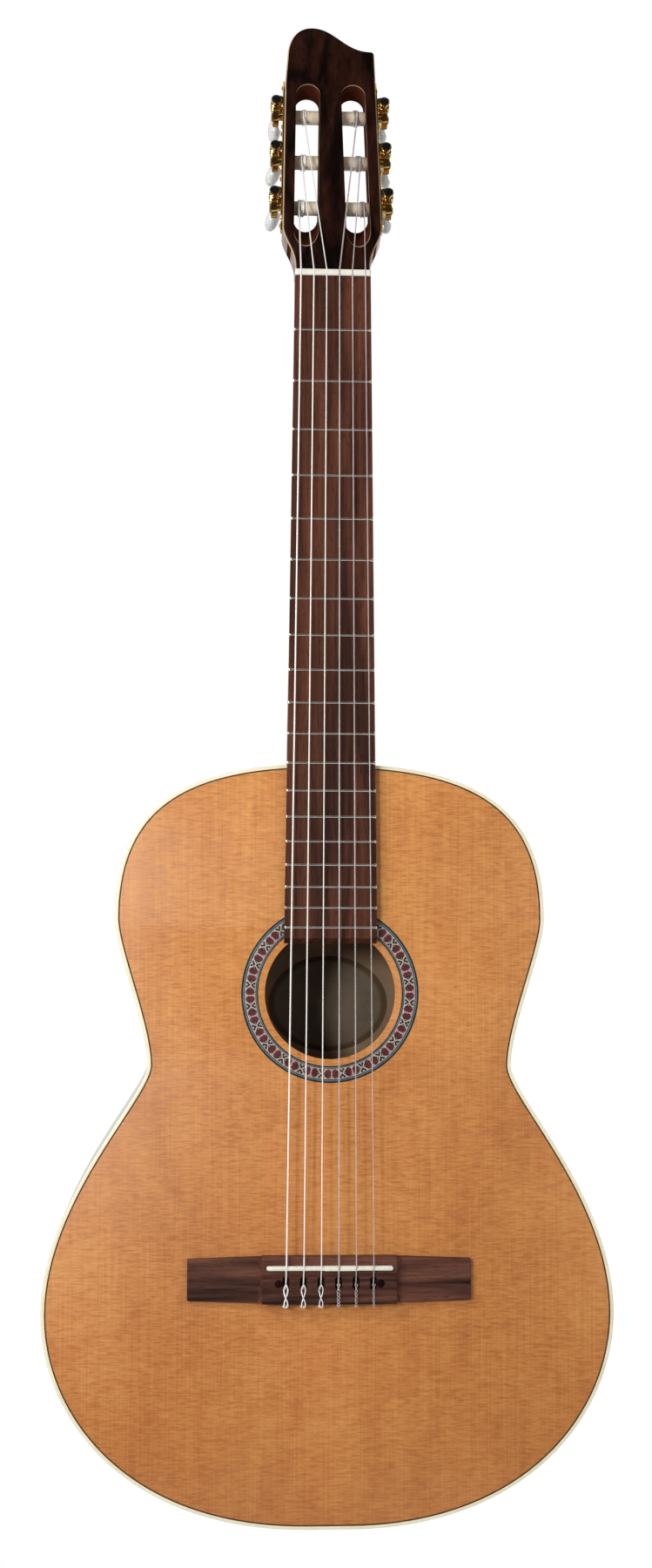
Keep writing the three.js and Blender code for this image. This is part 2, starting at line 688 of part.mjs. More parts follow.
// How far the side of the head is from its middle, at a height on the head.
function sideAt(v) {
  return THREE.MathUtils.mapLinear(v, SIDE_FOOT.v, SIDE_TOP.v, SIDE_FOOT.half, SIDE_TOP.half);
}

addMesh(head, 'headstock', makeHeadCore(), mahogany);
addMesh(head, 'head_veneer', withSlots(solid(plate(headOutline(), 0, VENEER_THICK, 6))), rosewood);

// ---------- tuners ----------

const GEAR_RADIUS = (GEAR_MODULE * GEAR_TEETH) / 2;
const WORM_PITCH = Math.PI * GEAR_MODULE;
const WORM_ABOVE = GEAR_RADIUS + WORM_PITCH_RADIUS;
const TOOTH_OUT = 0.72;          // how far teeth and thread rise above their pitch line
const TOOTH_IN = 0.95;           // how far their roots lie below it
const CORE_RADIUS = WORM_PITCH_RADIUS - TOOTH_IN;
const JOURNAL_RADIUS = 1.8;
const WORM_SIDES = 10;
const TOOTH_MARKS = [[-0.27, -TOOTH_IN], [-0.09, TOOTH_OUT], [0.09, TOOTH_OUT], [0.27, -TOOTH_IN]];
const THREAD_ROOT = 0.3;         // half width of the thread at its root, in pitches
const THREAD_TIP = 0.1;
const THREAD_SUNK = 0.4;         // how far the thread's root lies inside the worm's core
const THREAD_HALF = 4.6;         // half the length of the worm's threaded part
const COLLAR = { radius: 3.1, long: 2, taper: 1.5 };
const LUG = { thick: 2, radius: 3.4, sunk: 0.9 };
const SHAFT_PAST = 0.8;          // how far a roller's shaft stands out of its gear
const PLATE_FRONT = ROLLER_DEEP - PLATE_WIDE / 2;
const PLATE_BACK = ROLLER_DEEP + PLATE_WIDE / 2;
const PLATE_ENDS = [35, 146];

function makeRoller(v) {
  const side = sideAt(v);
  const inner = slotMiddle(v) - SLOT_HALF + 2 * GAP;
  const end = side + GEAR_OUT + GEAR_WIDE / 2 + SHAFT_PAST;
  return turned([
    [0, PIN_INNER], [PIN_RADIUS, PIN_INNER], [PIN_RADIUS, inner],
    [ROLLER_RADIUS, inner], [ROLLER_RADIUS, side - GAP],
    [SHAFT_RADIUS, side - GAP], [SHAFT_RADIUS, end], [0, end],
  ], 14);
}

// A worm wheel: its teeth lean to follow the worm's thread.
function makeGear() {
  const shape = new THREE.Shape();
  const tooth = (2 * Math.PI) / GEAR_TEETH;
  for (let i = 0; i < GEAR_TEETH; i += 1) {
    for (const [turn, rise] of TOOTH_MARKS) {
      const angle = (i + turn) * tooth + Math.PI / 2;
      const radius = GEAR_RADIUS + rise;
      const point = [radius * Math.cos(angle), radius * Math.sin(angle)];
      if (i === 0 && turn === TOOTH_MARKS[0][0]) {
        shape.moveTo(...point);
      } else {
        shape.lineTo(...point);
      }
    }
  }
  const bore = new THREE.Path();
  bore.absarc(0, 0, SHAFT_RADIUS + GAP, 0, Math.PI * 2);
  shape.holes.push(bore);
  const options = { depth: GEAR_WIDE, bevelEnabled: false, curveSegments: 7 };
  const wheel = new THREE.ExtrudeGeometry(shape, options);
  wheel.translate(0, 0, -GEAR_WIDE / 2);
  const lean = WORM_PITCH / (2 * Math.PI * WORM_PITCH_RADIUS) / GEAR_RADIUS;
  const places = wheel.getAttribute('position');
  const point = new THREE.Vector3();
  const axis = new THREE.Vector3(0, 0, 1);
  for (let i = 0; i < places.count; i += 1) {
    point.fromBufferAttribute(places, i);
    point.applyAxisAngle(axis, -point.z * lean);
    places.setXYZ(i, point.x, point.y, point.z);
  }
  return turnedToX(wheel);
}

// A worm shaft along +Y: a core and journals, with a right-hand thread round the core.
function makeWorm() {
  const shaftEnd = BUTTON_DEEP - BUTTON_SIZE.long / 2 - GAP - ROLLER_DEEP;
  const front = PLATE_FRONT - ROLLER_DEEP - GAP;
  const back = PLATE_BACK - ROLLER_DEEP + GAP;
  const coreHalf = THREAD_HALF + GAP;
  const collarEnd = back + COLLAR.long;
  const lathe = new THREE.LatheGeometry([
    [0, front], [JOURNAL_RADIUS, front], [JOURNAL_RADIUS, -coreHalf],
    [CORE_RADIUS, -coreHalf], [CORE_RADIUS, coreHalf], [JOURNAL_RADIUS, coreHalf],
    [JOURNAL_RADIUS, back], [COLLAR.radius, back], [COLLAR.radius, collarEnd],
    [JOURNAL_RADIUS, collarEnd + COLLAR.taper], [JOURNAL_RADIUS, shaftEnd], [0, shaftEnd],
  ].map(([radius, y]) => new THREE.Vector2(radius, y)), WORM_SIDES);
  const root = CORE_RADIUS - THREAD_SUNK;
  const tip = WORM_PITCH_RADIUS + TOOTH_OUT;
  const section = [[root, -THREAD_ROOT], [tip, -THREAD_TIP], [tip, THREAD_TIP], [root, THREAD_ROOT]];
  const threadReach = THREAD_HALF / WORM_PITCH - THREAD_ROOT;
  const reach = Math.floor(threadReach * WORM_SIDES);
  const rings = [];
  for (let step = reach; step >= -reach; step -= 1) {
    const turns = step / WORM_SIDES;
    const angle = turns * 2 * Math.PI;
    rings.push(section.map(([radius, along]) => new THREE.Vector3(
      radius * Math.sin(angle), (turns + along) * WORM_PITCH, radius * Math.cos(angle))));
  }
  return solid(lathe).add(solid(loft(rings)));
}

const PLATE_CORNER = 3;
const HOLE_REACH = 60;           // past the plate, for the holes that the roller shafts pass through

function makeTunerPlate(side) {
  const length = PLATE_ENDS[1] - PLATE_ENDS[0];
  const corner = PLATE_CORNER;
  const shape = new THREE.Shape();
  shape.moveTo(PLATE_FRONT + corner, 0);
  shape.lineTo(PLATE_BACK - corner, 0);
  shape.lineTo(PLATE_BACK, corner);
  shape.lineTo(PLATE_BACK, length - corner);
  shape.lineTo(PLATE_BACK - corner, length);
  shape.lineTo(PLATE_FRONT + corner, length);
  shape.lineTo(PLATE_FRONT, length - corner);
  shape.lineTo(PLATE_FRONT, corner);
  const sheet = new THREE.ExtrudeGeometry(shape, { depth: PLATE_THICK, bevelEnabled: false });
  turnedToX(sheet);
  sheet.rotateY(-SIDE_LEAN);
  sheet.translate(sideAt(PLATE_ENDS[0]) + GAP, 0, PLATE_ENDS[0]);
  let body = solid(sheet);
  for (const tuner of tuners().filter((one) => one.side === 1)) {
    const axisX = sideAt(tuner.v) + GEAR_OUT;
    for (const front of [PLATE_FRONT, PLATE_BACK - LUG.thick]) {
      body = body.add(lugAt(axisX, front, tuner.v + WORM_ABOVE));
    }
    const radius = SHAFT_RADIUS + GAP;
    const hole = turned([[0, 0], [radius, 0], [radius, HOLE_REACH], [0, HOLE_REACH]], 14);
    hole.translate(0, ROLLER_DEEP, tuner.v);
    body = body.subtract(solid(hole));
  }
  return side > 0 ? body : body.mirror([1, 0, 0]);
}

// A lug that stands out from the plate and holds one end of a worm.
function lugAt(axisX, front, v) {
  const shape = new THREE.Shape();
  const rootX = axisX - GEAR_OUT + LUG.sunk;
  shape.moveTo(rootX, v - LUG.radius);
  shape.lineTo(axisX, v - LUG.radius);
  shape.absarc(axisX, v, LUG.radius, -Math.PI / 2, Math.PI / 2);
  shape.lineTo(rootX, v + LUG.radius);
  const hole = new THREE.Path();
  hole.absarc(axisX, v, JOURNAL_RADIUS + GAP, 0, Math.PI * 2);
  shape.holes.push(hole);
  return solid(plate(shape, front, front + LUG.thick, 5));
}

const BUTTON_NIP = 0.3;          // share of its width that a button loses at its shaft's end
const BUTTON_SQUARE = 0.8;       // below 1, a button is squarer than an ellipse

// An oval button, thickest in the middle and nipped in at the end near the head.
function makeButton() {
  const geometry = new THREE.SphereGeometry(1, 12, 8);
  geometry.rotateX(Math.PI / 2);
  const places = geometry.getAttribute('position');
  const square = (value) => Math.sign(value) * Math.abs(value) ** BUTTON_SQUARE;
  for (let i = 0; i < places.count; i += 1) {
    const [x, y, z] = [places.getX(i), places.getY(i), places.getZ(i)];
    const nip = y < 0 ? 1 + BUTTON_NIP * y : 1;
    places.setXYZ(i, square(x) * nip, square(y), square(z) * nip);
  }
  geometry.scale(BUTTON_SIZE.wide / 2, BUTTON_SIZE.long / 2, BUTTON_SIZE.thick / 2);
  return solid(geometry);
}

function addTuner({ number, side, v }) {
  const gearX = side * (sideAt(v) + GEAR_OUT);
  const roller = addMesh(head, `roller_${number}`, makeRoller(v), rollerBone);
  roller.position.set(0, ROLLER_DEEP, v);
  roller.rotation.z = side > 0 ? 0 : Math.PI;
  const gear = addMesh(head, `gear_${number}`, makeGear(), brass);
  gear.position.set(gearX, ROLLER_DEEP, v);
  const worm = addMesh(head, `worm_${number}`, makeWorm(), gold);
  worm.position.set(gearX, ROLLER_DEEP, v + WORM_ABOVE);
  const button = addMesh(head, `button_${number}`, makeButton(), pearl);
  button.position.set(gearX, BUTTON_DEEP, v + WORM_ABOVE);
  button.rotation.y = THREE.MathUtils.degToRad(BUTTON_TURNS[number - 1]);
}

tuners().forEach(addTuner);
addMesh(head, 'tuner_plate_treble', makeTunerPlate(1), gold);
addMesh(head, 'tuner_plate_bass', makeTunerPlate(-1), gold);

// ---------- strings ----------

const STRING_SIDES = 8;
const TIE_HIGH = 6;              // where a string meets the tie block, above the soundboard

// A thin round string through a few points.
function stringThrough(points, radius) {
  const rings = points.map((point, i) => {
    const before = points[Math.max(0, i - 1)];
    const after = points[Math.min(points.length - 1, i + 1)];
    const along = after.clone().sub(before).normalize();
    const across = new THREE.Vector3(1, 0, 0).cross(along).normalize();
    const sideways = along.clone().cross(across);
    return ringOf(point, across, sideways, radius, STRING_SIDES);
  });
  return loft(rings);
}

function addString({ number, side, v, windingX }) {
  const radius = STRING_DIAMETERS[number - 1] / 2;
  const nutX = stringX(number, STRING_SPREAD_NUT);
  const saddleX = stringX(number, STRING_SPREAD_SADDLE);
  const tieZ = TIE_SLOT.foot + 2 * GAP;
  const saddleBackZ = SADDLE_Z - SADDLE.thick / 2 - GAP;
  const nutBackZ = NUT_Z + NUT_THICK;
  const rollerFront = ROLLER_DEEP - ROLLER_RADIUS - GAP - radius;
  const atRoller = new THREE.Vector3(side * windingX, rollerFront, v);
  const points = [
    new THREE.Vector3(saddleX, FRONT_Y - TIE_HIGH, tieZ),
    new THREE.Vector3(saddleX, FRONT_Y - STRING_HIGH_SADDLE, saddleBackZ),
    new THREE.Vector3(nutX, FRONT_Y - STRING_HIGH_NUT, nutBackZ),
    atRoller.applyMatrix4(head.matrixWorld),
  ];
  const look = side > 0 ? nylon : woundNylon;
  addMesh(guitar, `string_${number}`, stringThrough(points, radius), look);
}

tuners().forEach(addString);

export default guitar;
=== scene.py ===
"""Classical guitar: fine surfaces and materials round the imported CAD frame.

Shapes are worked out in millimetres in the part's frame: +Z up the neck, -Y the soundboard's side,
+X the treble side. A shape is a pair (points, faces), and piece() turns it into an object in metres.
"""

import math

import bmesh
import bpy
from mathutils import Matrix, Vector
from mathutils.geometry import tessellate_polygon


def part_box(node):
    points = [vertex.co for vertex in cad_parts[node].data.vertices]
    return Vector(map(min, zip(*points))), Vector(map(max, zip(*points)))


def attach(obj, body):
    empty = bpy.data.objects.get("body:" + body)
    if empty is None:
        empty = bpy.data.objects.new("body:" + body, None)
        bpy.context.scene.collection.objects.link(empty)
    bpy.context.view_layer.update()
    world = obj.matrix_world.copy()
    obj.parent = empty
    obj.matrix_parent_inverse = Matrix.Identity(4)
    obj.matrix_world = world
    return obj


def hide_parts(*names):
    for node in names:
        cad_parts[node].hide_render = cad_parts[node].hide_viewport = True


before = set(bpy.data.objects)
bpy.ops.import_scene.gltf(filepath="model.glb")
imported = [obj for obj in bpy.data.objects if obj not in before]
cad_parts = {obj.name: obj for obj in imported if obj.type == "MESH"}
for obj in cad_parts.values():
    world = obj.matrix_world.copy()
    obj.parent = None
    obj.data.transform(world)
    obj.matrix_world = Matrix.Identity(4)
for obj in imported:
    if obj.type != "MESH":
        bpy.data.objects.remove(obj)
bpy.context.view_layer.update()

MM = 0.001
QUARTER = math.pi / 2
SIDES = ((1, "treble"), (-1, "bass"))


# ---------- places taken from the frame ----------

def low(node):
    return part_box(node)[0] / MM


def high(node):
    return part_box(node)[1] / MM


FRONT_Y = low("soundboard").y
TAIL_BACK_Y = -FRONT_Y
TOP_THICK = 2.5
BODY_LENGTH = high("binding_front").z
HOLE_Z = (low("rosette").z + high("rosette").z) / 2
ROSETTE_OUT = high("rosette").x
HOLE_RADIUS = ROSETTE_OUT - 15.6
BOARD_FRONT_Y = FRONT_Y - 6.1
BOARD_FOOT_Z = low("fingerboard").z
BOARD_END_Z = BOARD_FOOT_Z + 3.5
BOARD_END_HALF = high("fingerboard").x
NUT_Z = low("nut").z
NUT_BACK_Z = high("nut").z - 0.9    # its rounded back edge shows as part of the head's foot
NUT_HALF = high("nut").x + 0.3
SADDLE_Z = (low("saddle").z + high("saddle").z) / 2
SADDLE_HALF = high("saddle").x
SADDLE_THICK = high("saddle").z - low("saddle").z
BRIDGE_HALF = high("bridge").x
BRIDGE_FOOT_Z = low("bridge").z
BRIDGE_TOP_Z = high("bridge").z
BLOCK_FRONT_Y = low("bridge").y

# The body's outline, as half widths, heights and the reach of each curve's handles.
TAIL_FLAT = 14
LOWER_BOUT = (188, 139.5)
WAIST = (119.8, 301)
UPPER_BOUT = (142, 397.5)
TAIL_HANDLES = (133, 65)
LOWER_HANDLES = (75, 20)
UPPER_HANDLES = (25.7, 20)
NECK_HANDLES = (78, 92)
BACK_SLOPE = math.atan(6 / BODY_LENGTH)
BINDING_WIDE = 2.2
BINDING_DEEP = 6
RIB_THICK = 2.2
GRAFT_HALF = 10
PLATE_INSET = BINDING_WIDE + 0.9    # where the purfling ends and the top and back begin
BACK_THICK = 2.8
SEAM_HALF = 1.6
SKIN_FACE = -3.0                    # the back's inner face, from its outer one
LABEL_CENTRE = (3.8, 339)
LABEL_HALF = 41
LABEL_SQUASH = 0.8
FAR_FRONT, FAR_BACK, FAR_OUT = -90, 20, 60    # reach of the shapes that cut whole pieces away

# The head has its own frame: y = 0 is its face, +y goes to its back and z climbs it.
HEAD_ANGLE = math.radians(14)
HEAD = Matrix.Translation((0, FRONT_Y - 4, NUT_Z + 5.2)) @ Matrix.Rotation(-HEAD_ANGLE, 4, "X")
HEAD_THICK = 20.8
SIDE_FOOT = (33.5, 31)
SIDE_TOP = (31.1, 142)
SIDE_LEAN = math.atan2(SIDE_FOOT[0] - SIDE_TOP[0], SIDE_TOP[1] - SIDE_FOOT[1])
SLOT_HALF = 8.2
SLOT_MIDDLE = 15.25
SLOT_TOP = 142
SLOT_FOOT = 16
SLOT_FOOT_BACK = 39
ROLLER_FIRST = 51
ROLLER_PITCH = 35.1
ROLLER_DEEP = 10.4
ROLLER_RADIUS = 4.8
ROLLER_HOLE_TILT = math.radians(70)
GEAR_OUT = 5.7
WORM_ABOVE = 9.0
WORM_CORE = 2.1
WORM_OUT = 3.77
WORM_PITCH = 0.85 * math.pi
WORM_HALF = 4.4
PLATE_ENDS = (33, 148)
# Heights of the plate's fixing screws, each with their depths from the rollers' plane.
PLATE_SCREWS = ((37.5, (0,)), (76, (-4.6, 4.6)), (111, (-4.6, 4.6)), (144, (0,)))
BUTTON_DEEP = 40
BUTTON_HALF = (7.5, 9, 4.5)
BUTTON_TURNS = (78, 70, 86, 96, 114, 110)

STRING_DIAMETERS = (0.71, 0.82, 1.03, 0.76, 0.91, 1.09)
STRING_SPREAD_NUT = 43
STRING_SPREAD_SADDLE = 57
STRING_Y_NUT = FRONT_Y - 8.25
STRING_Y_SADDLE = FRONT_Y - 12.5
TIE_SHARE = -0.02            # the strings still spread a little below the saddle
TIE_SHARE_BELOW = -0.03
WINDING_X = (22.2, 20.2, 18.5)
FRETS = 19
SCALE_LENGTH = 652


# ---------- shapes ----------

def at(x, y=0, z=0):
    return Matrix.Translation((x, y, z))


def turned(angle, axis):
    return Matrix.Rotation(angle, 4, axis)


def joined(*shapes):
    points, faces = [], []
    for more_points, more_faces in shapes:
        start = len(points)
        points += more_points
        faces += [[start + i for i in face] for face in more_faces]
    return points, faces


def moved(shape, matrix):
    return [matrix @ Vector(p) for p in shape[0]], shape[1]


def warped(shape, change):
    return [change(Vector(p)) for p in shape[0]], shape[1]


def loft(rings, closed=False):
    """Quads between rings of equal count, with end caps unless the row of rings closes on itself."""
    count = len(rings[0])
    points = [p for ring in rings for p in ring]
    faces = []
    for r in range(len(rings) if closed else len(rings) - 1):
        here, after = r * count, (r + 1) % len(rings) * count
        for i in range(count):
            j = (i + 1) % count
            faces.append([here + i, here + j, after + j, after + i])
    if not closed:
        faces.append(list(range(count)))
        faces.append([len(points) - 1 - i for i in range(count)])
    return points, faces


def offset_loop(loop, distance):
    """The closed loop moved to its left, with mitred corners."""
    result = []
    for i, here in enumerate(loop):
        before = (here - loop[i - 1]).normalized()
        after = (loop[(i + 1) % len(loop)] - here).normalized()
        normal = Vector((-before.y - after.y, before.x + after.x)).normalized()
        straight = max(0.5, normal.dot(Vector((-after.y, after.x))))
        result.append(here + normal * (distance / straight))
    return result


def signed_area(loop):
    return sum(a.cross(b) for a, b in zip(loop, loop[1:] + loop[:1])) / 2


def slab(loops, front, back, bevel=0.0, back_bevel=0.0, steps=3):
    """A flat piece drawn in X and Z, from y = front to y = back. Loop 0 is its outside, the rest holes."""
    loops = [[Vector(p) for p in loop] for loop in loops]
    for i, loop in enumerate(loops):
        if (signed_area(loop) > 0) != (i == 0):
            loop.reverse()
    turns = [math.pi / 2 * i / steps for i in range(steps + 1)]
    rows = [(bevel * (1 - math.sin(t)), front + bevel * (1 - math.cos(t))) for t in turns]
    rows += [(back_bevel * (1 - math.cos(t)), back - back_bevel * (1 - math.sin(t))) for t in turns]
    if not bevel:
        rows = rows[steps:]
    if not back_bevel:
        rows = rows[:-steps]
    points, faces = [], []
    total = sum(len(loop) for loop in loops)
    for inset, y in rows:
        for loop in loops:
            points += [Vector((p.x, y, p.y)) for p in offset_loop(loop, inset)]
    start = 0
    for loop in loops:
        for r in range(len(rows) - 1):
            for i in range(len(loop)):
                a, b = r * total + start + i, r * total + start + (i + 1) % len(loop)
                faces.append([a, b, b + total, a + total])
        start += len(loop)
    flat = [[Vector((p.x, p.y, 0)) for p in offset_loop(loop, rows[0][0])] for loop in loops]
    for triangle in tessellate_polygon(flat):
        faces.append(list(triangle))
        faces.append([i + total * (len(rows) - 1) for i in reversed(triangle)])
    return points, faces


def box(lowest, highest):
    (x0, y0, z0), (x1, y1, z1) = lowest, highest
    return slab([[(x0, z0), (x1, z0), (x1, z1), (x0, z1)]], y0, y1)


def full_turn(count):
    return [2 * math.pi * i / count for i in range(count)]


def lathe(profile, sides=32):
    """A turned solid along +X from (radius, along) pairs that start and end on the axis."""
    turns = full_turn(sides)
    return loft([[Vector((along, radius * math.cos(t), radius * math.sin(t))) for t in turns]
                 for radius, along in profile])


def smooth_path(points, steps):
    """A smooth curve through the points."""
    points = [Vector(p) for p in points]
    ends = [points[0] * 2 - points[1]] + points + [points[-1] * 2 - points[-2]]
    path = []
    for i in range(1, len(ends) - 2):
        a, b, c, d = ends[i - 1:i + 3]
        for s in range(steps):
            t = s / steps
            path.append(0.5 * (2 * b + (c - a) * t + (2 * a - 5 * b + 4 * c - d) * t * t
                               + (3 * b - a - 3 * c + d) * t ** 3))
    return path + [points[-1]]


def tube(path, radius, sides=10, closed=False):
    """A round tube along a path, its sections carried along without twist."""
    path = [Vector(p) for p in path]
    rings = []
    across = None
    count = len(path)
    for i, point in enumerate(path):
        before = path[i - 1] if closed or i else point
        after = path[(i + 1) % count] if closed or i + 1 < count else point
        along = (after - before).normalized()
        if across is None:
            across = along.orthogonal().normalized()
        across = (across - along * across.dot(along)).normalized()
        other = along.cross(across)
        rings.append([point + radius * (across * math.cos(t) + other * math.sin(t))
                      for t in full_turn(sides)])
    return loft(rings, closed)


def circle(radius, count, centre=(0, 0), squash=1.0):
    return [(centre[0] + radius * math.cos(t), centre[1] + radius * squash * math.sin(t))
            for t in full_turn(count)]


def stadium(half_wide, low_z, high_z, steps=16):
    """An outline with straight sides and round ends."""
    loop = []
    for start, middle in ((0, high_z - half_wide), (1, low_z + half_wide)):
        turns = [math.pi * (start + i / steps) for i in range(steps + 1)]
        loop += [(half_wide * math.cos(t), middle + half_wide * math.sin(t)) for t in turns]
    return loop


def bezier(a, b, c, d, steps):
    """Points along a curve, without its last one."""
    points = []
    for i in range(steps):
        t = i / steps
        s = 1 - t
        points.append(s ** 3 * Vector(a) + 3 * s * s * t * Vector(b)
                      + 3 * s * t * t * Vector(c) + t ** 3 * Vector(d))
    return points


# ---------- pieces ----------

def mesh_of(name, shape):
    mesh = bpy.data.meshes.new(name)
    mesh.from_pydata([Vector(p) * MM for p in shape[0]], [], shape[1])
    work = bmesh.new()
    work.from_mesh(mesh)
    bmesh.ops.remove_doubles(work, verts=work.verts, dist=1e-7)
    bmesh.ops.recalc_face_normals(work, faces=work.faces)
    for face in work.faces:
        face.smooth = len(face.verts) == 4
    work.to_mesh(mesh)
    work.free()
    return mesh


def link(name, mesh):
    obj = bpy.data.objects.new(name, mesh)
    bpy.context.scene.collection.objects.link(obj)
    return obj


def carved(mesh, shapes, operation="DIFFERENCE"):
    """The mesh with other shapes cut out of it or joined on."""
    target = link("target", mesh)
    tools = []
    for shape in shapes:
        tool = link("tool", mesh_of("tool", shape))
        tools.append(tool)
        step = target.modifiers.new("carve", "BOOLEAN")
        step.operation = operation
        step.solver = "EXACT"
        step.object = tool
    graph = bpy.context.evaluated_depsgraph_get()
    graph.update()
    result = bpy.data.meshes.new_from_object(target.evaluated_get(graph))
    for obj in [target] + tools:
        bpy.data.objects.remove(obj)
    return result


def piece(name, shape, look, body="root", stands_for=(), sharp=35, cuts=(), adds=()):
    """One object of the guitar, made of a shape in millimetres, riding on a body."""
    mesh = shape if isinstance(shape, bpy.types.Mesh) else mesh_of(name, shape)
    if adds:
        mesh = carved(mesh, adds, "UNION")
    if cuts:
        mesh = carved(mesh, cuts)
    mesh.set_sharp_from_angle(angle=math.radians(sharp))
    obj = link(name, mesh)
    mesh.materials.clear()
    looks = [look] if isinstance(look, str) else look
    for one in looks:
        mesh.materials.append(LOOKS[one])
    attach(obj, body)
    if stands_for:
        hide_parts(*stands_for)
    return obj


# ---------- materials ----------

class Look:
    """A procedural material, with short calls that add nodes to its shader."""

    def __init__(self, name, roughness, metallic=0.0, coat=0.0, **more):
        self.material = bpy.data.materials.new(name)
        self.material.use_nodes = True
        self.tree = self.material.node_tree
        self.shader = self.tree.nodes["Principled BSDF"]
        values = {"Roughness": roughness, "Metallic": metallic, "Coat Weight": coat,
                  "Coat Roughness": 0.06}
        values.update({key.replace("_", " "): value for key, value in more.items()})
        for key, value in values.items():
            self.shader.inputs[key].default_value = value

    def node(self, kind, inputs=(), **settings):
        made = self.tree.nodes.new("ShaderNode" + kind)
        for key, value in settings.items():
            setattr(made, key, value)
        for key, value in dict(inputs).items():
            if isinstance(value, bpy.types.NodeSocket):
                self.tree.links.new(value, made.inputs[key])
            else:
                made.inputs[key].default_value = value
        return made

    def place(self, scale, mirrored=False):
        """Object coordinates stretched by a scale in features per metre."""
        point = self.node("TexCoord").outputs["Object"]
        if mirrored:
            point = self.node("VectorMath", {0: point}, operation="ABSOLUTE").outputs[0]
        return self.node("Mapping", {"Vector": point, "Scale": scale}).outputs["Vector"]

    def noise(self, scale, detail=3.0, warp=0.0, mirrored=False):
        inputs = {"Vector": self.place(scale, mirrored), "Scale": 1.0, "Detail": detail, "Distortion": warp}
        return self.node("TexNoise", inputs).outputs["Fac"]

    def bands(self, scale, warp=0.0, detail=2.0, mirrored=False, axis="X"):
        inputs = {"Vector": self.place(scale, mirrored), "Scale": 1.0, "Distortion": warp, "Detail": detail}
        return self.node("TexWave", inputs, bands_direction=axis).outputs["Fac"]

    def ramp(self, value, *stops):
        made = self.node("ValToRGB", {"Fac": value})
        elements = made.color_ramp.elements
        while len(elements) < len(stops):
            elements.new(0.5)
        for element, (position, colour) in zip(elements, stops):
            element.position = position
            element.color = (*colour, 1)
        return made.outputs["Color"]

    def mix(self, share, first, second, mode="MIX"):
        inputs = {"Fac": share, "Color1": first, "Color2": second}
        return self.node("MixRGB", inputs, blend_type=mode).outputs["Color"]

    def limits(self, value, from_low, from_high, to_low, to_high):
        inputs = {"Value": value, "From Min": from_low, "From Max": from_high,
                  "To Min": to_low, "To Max": to_high}
        return self.node("MapRange", inputs).outputs["Result"]

    def paint(self, colour):
        self.tree.links.new(colour, self.shader.inputs["Base Color"])
        return self

    def rough(self, value, smoothest, roughest):
        made = self.limits(value, 0.3, 0.7, smoothest, roughest)
        self.tree.links.new(made, self.shader.inputs["Roughness"])
        return self

    def bump(self, height, distance, strength=1.0):
        """Relief whose distance is in millimetres."""
        made = self.node("Bump", {"Height": height, "Distance": distance * MM, "Strength": strength})
        self.tree.links.new(made.outputs["Normal"], self.shader.inputs["Normal"])
        return self


GREY = (0.5, 0.5, 0.5)
DULL = 0.15                  # specular level of oiled or unfinished faces


def cedar_look():
    look = Look("cedar", 0.42, coat=0.12)
    age = look.noise((12, 12, 5), 2, mirrored=True)
    base = look.ramp(age, (0.3, (0.57, 0.230, 0.057)), (0.7, (0.66, 0.290, 0.079)))
    grain = look.bands((480, 0, 1.2), 1.5, 2, mirrored=True)
    lines = look.ramp(grain, (0.0, (0.36, 0.34, 0.32)), (0.4, GREY), (1.0, (0.54, 0.54, 0.54)))
    fine = look.noise((1100, 300, 14), 2, mirrored=True)
    fine = look.ramp(fine, (0.3, (0.40, 0.38, 0.36)), (0.7, (0.58, 0.58, 0.58)))
    silk = look.noise((150, 150, 1050), 5, 0.5)
    silk_colour = look.ramp(silk, (0.34, (0.34, 0.31, 0.28)), (0.5, GREY), (0.66, (0.63, 0.64, 0.65)))
    clouds = look.noise((30, 30, 24), 3, 0.8)
    cloud_colour = look.ramp(clouds, (0.35, (0.46, 0.44, 0.42)), (0.65, (0.54, 0.55, 0.56)))
    colour = look.mix(0.6, base, lines, "OVERLAY")
    colour = look.mix(0.5, colour, fine, "OVERLAY")
    colour = look.mix(0.65, colour, silk_colour, "OVERLAY")
    colour = look.mix(0.8, colour, cloud_colour, "OVERLAY")
    # Darker towards the bottom of the top: painted shade, the light falling off down the body.
    height = look.node("SeparateXYZ", {0: look.place((1, 1, 1))}).outputs["Z"]
    painted_shade_low = look.ramp(look.limits(height, 0.02, 0.40, 0, 1), (0.0, (0.80, 0.71, 0.64)), (1.0, (1, 1, 1)))
    colour = look.mix(1.0, colour, painted_shade_low, "MULTIPLY")
    across = look.node("SeparateXYZ", {0: look.place((1, 1, 1), mirrored=True)}).outputs["X"]
    seam = look.ramp(look.limits(across, 0.006, 0.022, 0, 1), (0.0, (0.54, 0.55, 0.56)), (1.0, GREY))
    colour = look.mix(1.0, colour, seam, "OVERLAY")
    return look.paint(colour).rough(silk, 0.36, 0.48).bump(grain, 0.02, 0.5).material


def rosewood_look(name, dark, light, streaks, roughness, along="Z", mirrored=False, **more):
    """Rosewood whose streaks run along X or along Z."""
    def stretch(across, run):
        return (run, across, across) if along == "X" else (across, across, run)

    look = Look(name, roughness, **more)
    broad = look.noise(stretch(streaks * 0.3, streaks * 0.02), 3, 0.8, mirrored)
    narrow = look.noise(stretch(streaks * 1.6, streaks * 0.05), 4, 0.3, mirrored)
    pores = look.noise(stretch(streaks * 7, streaks * 0.5), 2, 0.0, mirrored)
    base = look.ramp(broad, (0.38, dark), (0.62, light))
    fine = look.ramp(narrow, (0.3, (0.3, 0.3, 0.3)), (0.7, (0.66, 0.64, 0.62)))
    colour = look.mix(0.8, base, fine, "OVERLAY")
    pits = look.ramp(pores, (0.34, (0.35, 0.33, 0.3)), (0.42, (1, 1, 1)))
    colour = look.mix(0.8, colour, pits, "MULTIPLY")
    look.paint(colour).rough(narrow, roughness - 0.06, roughness + 0.08)
    return look.bump(pores, 0.05, 0.35).material


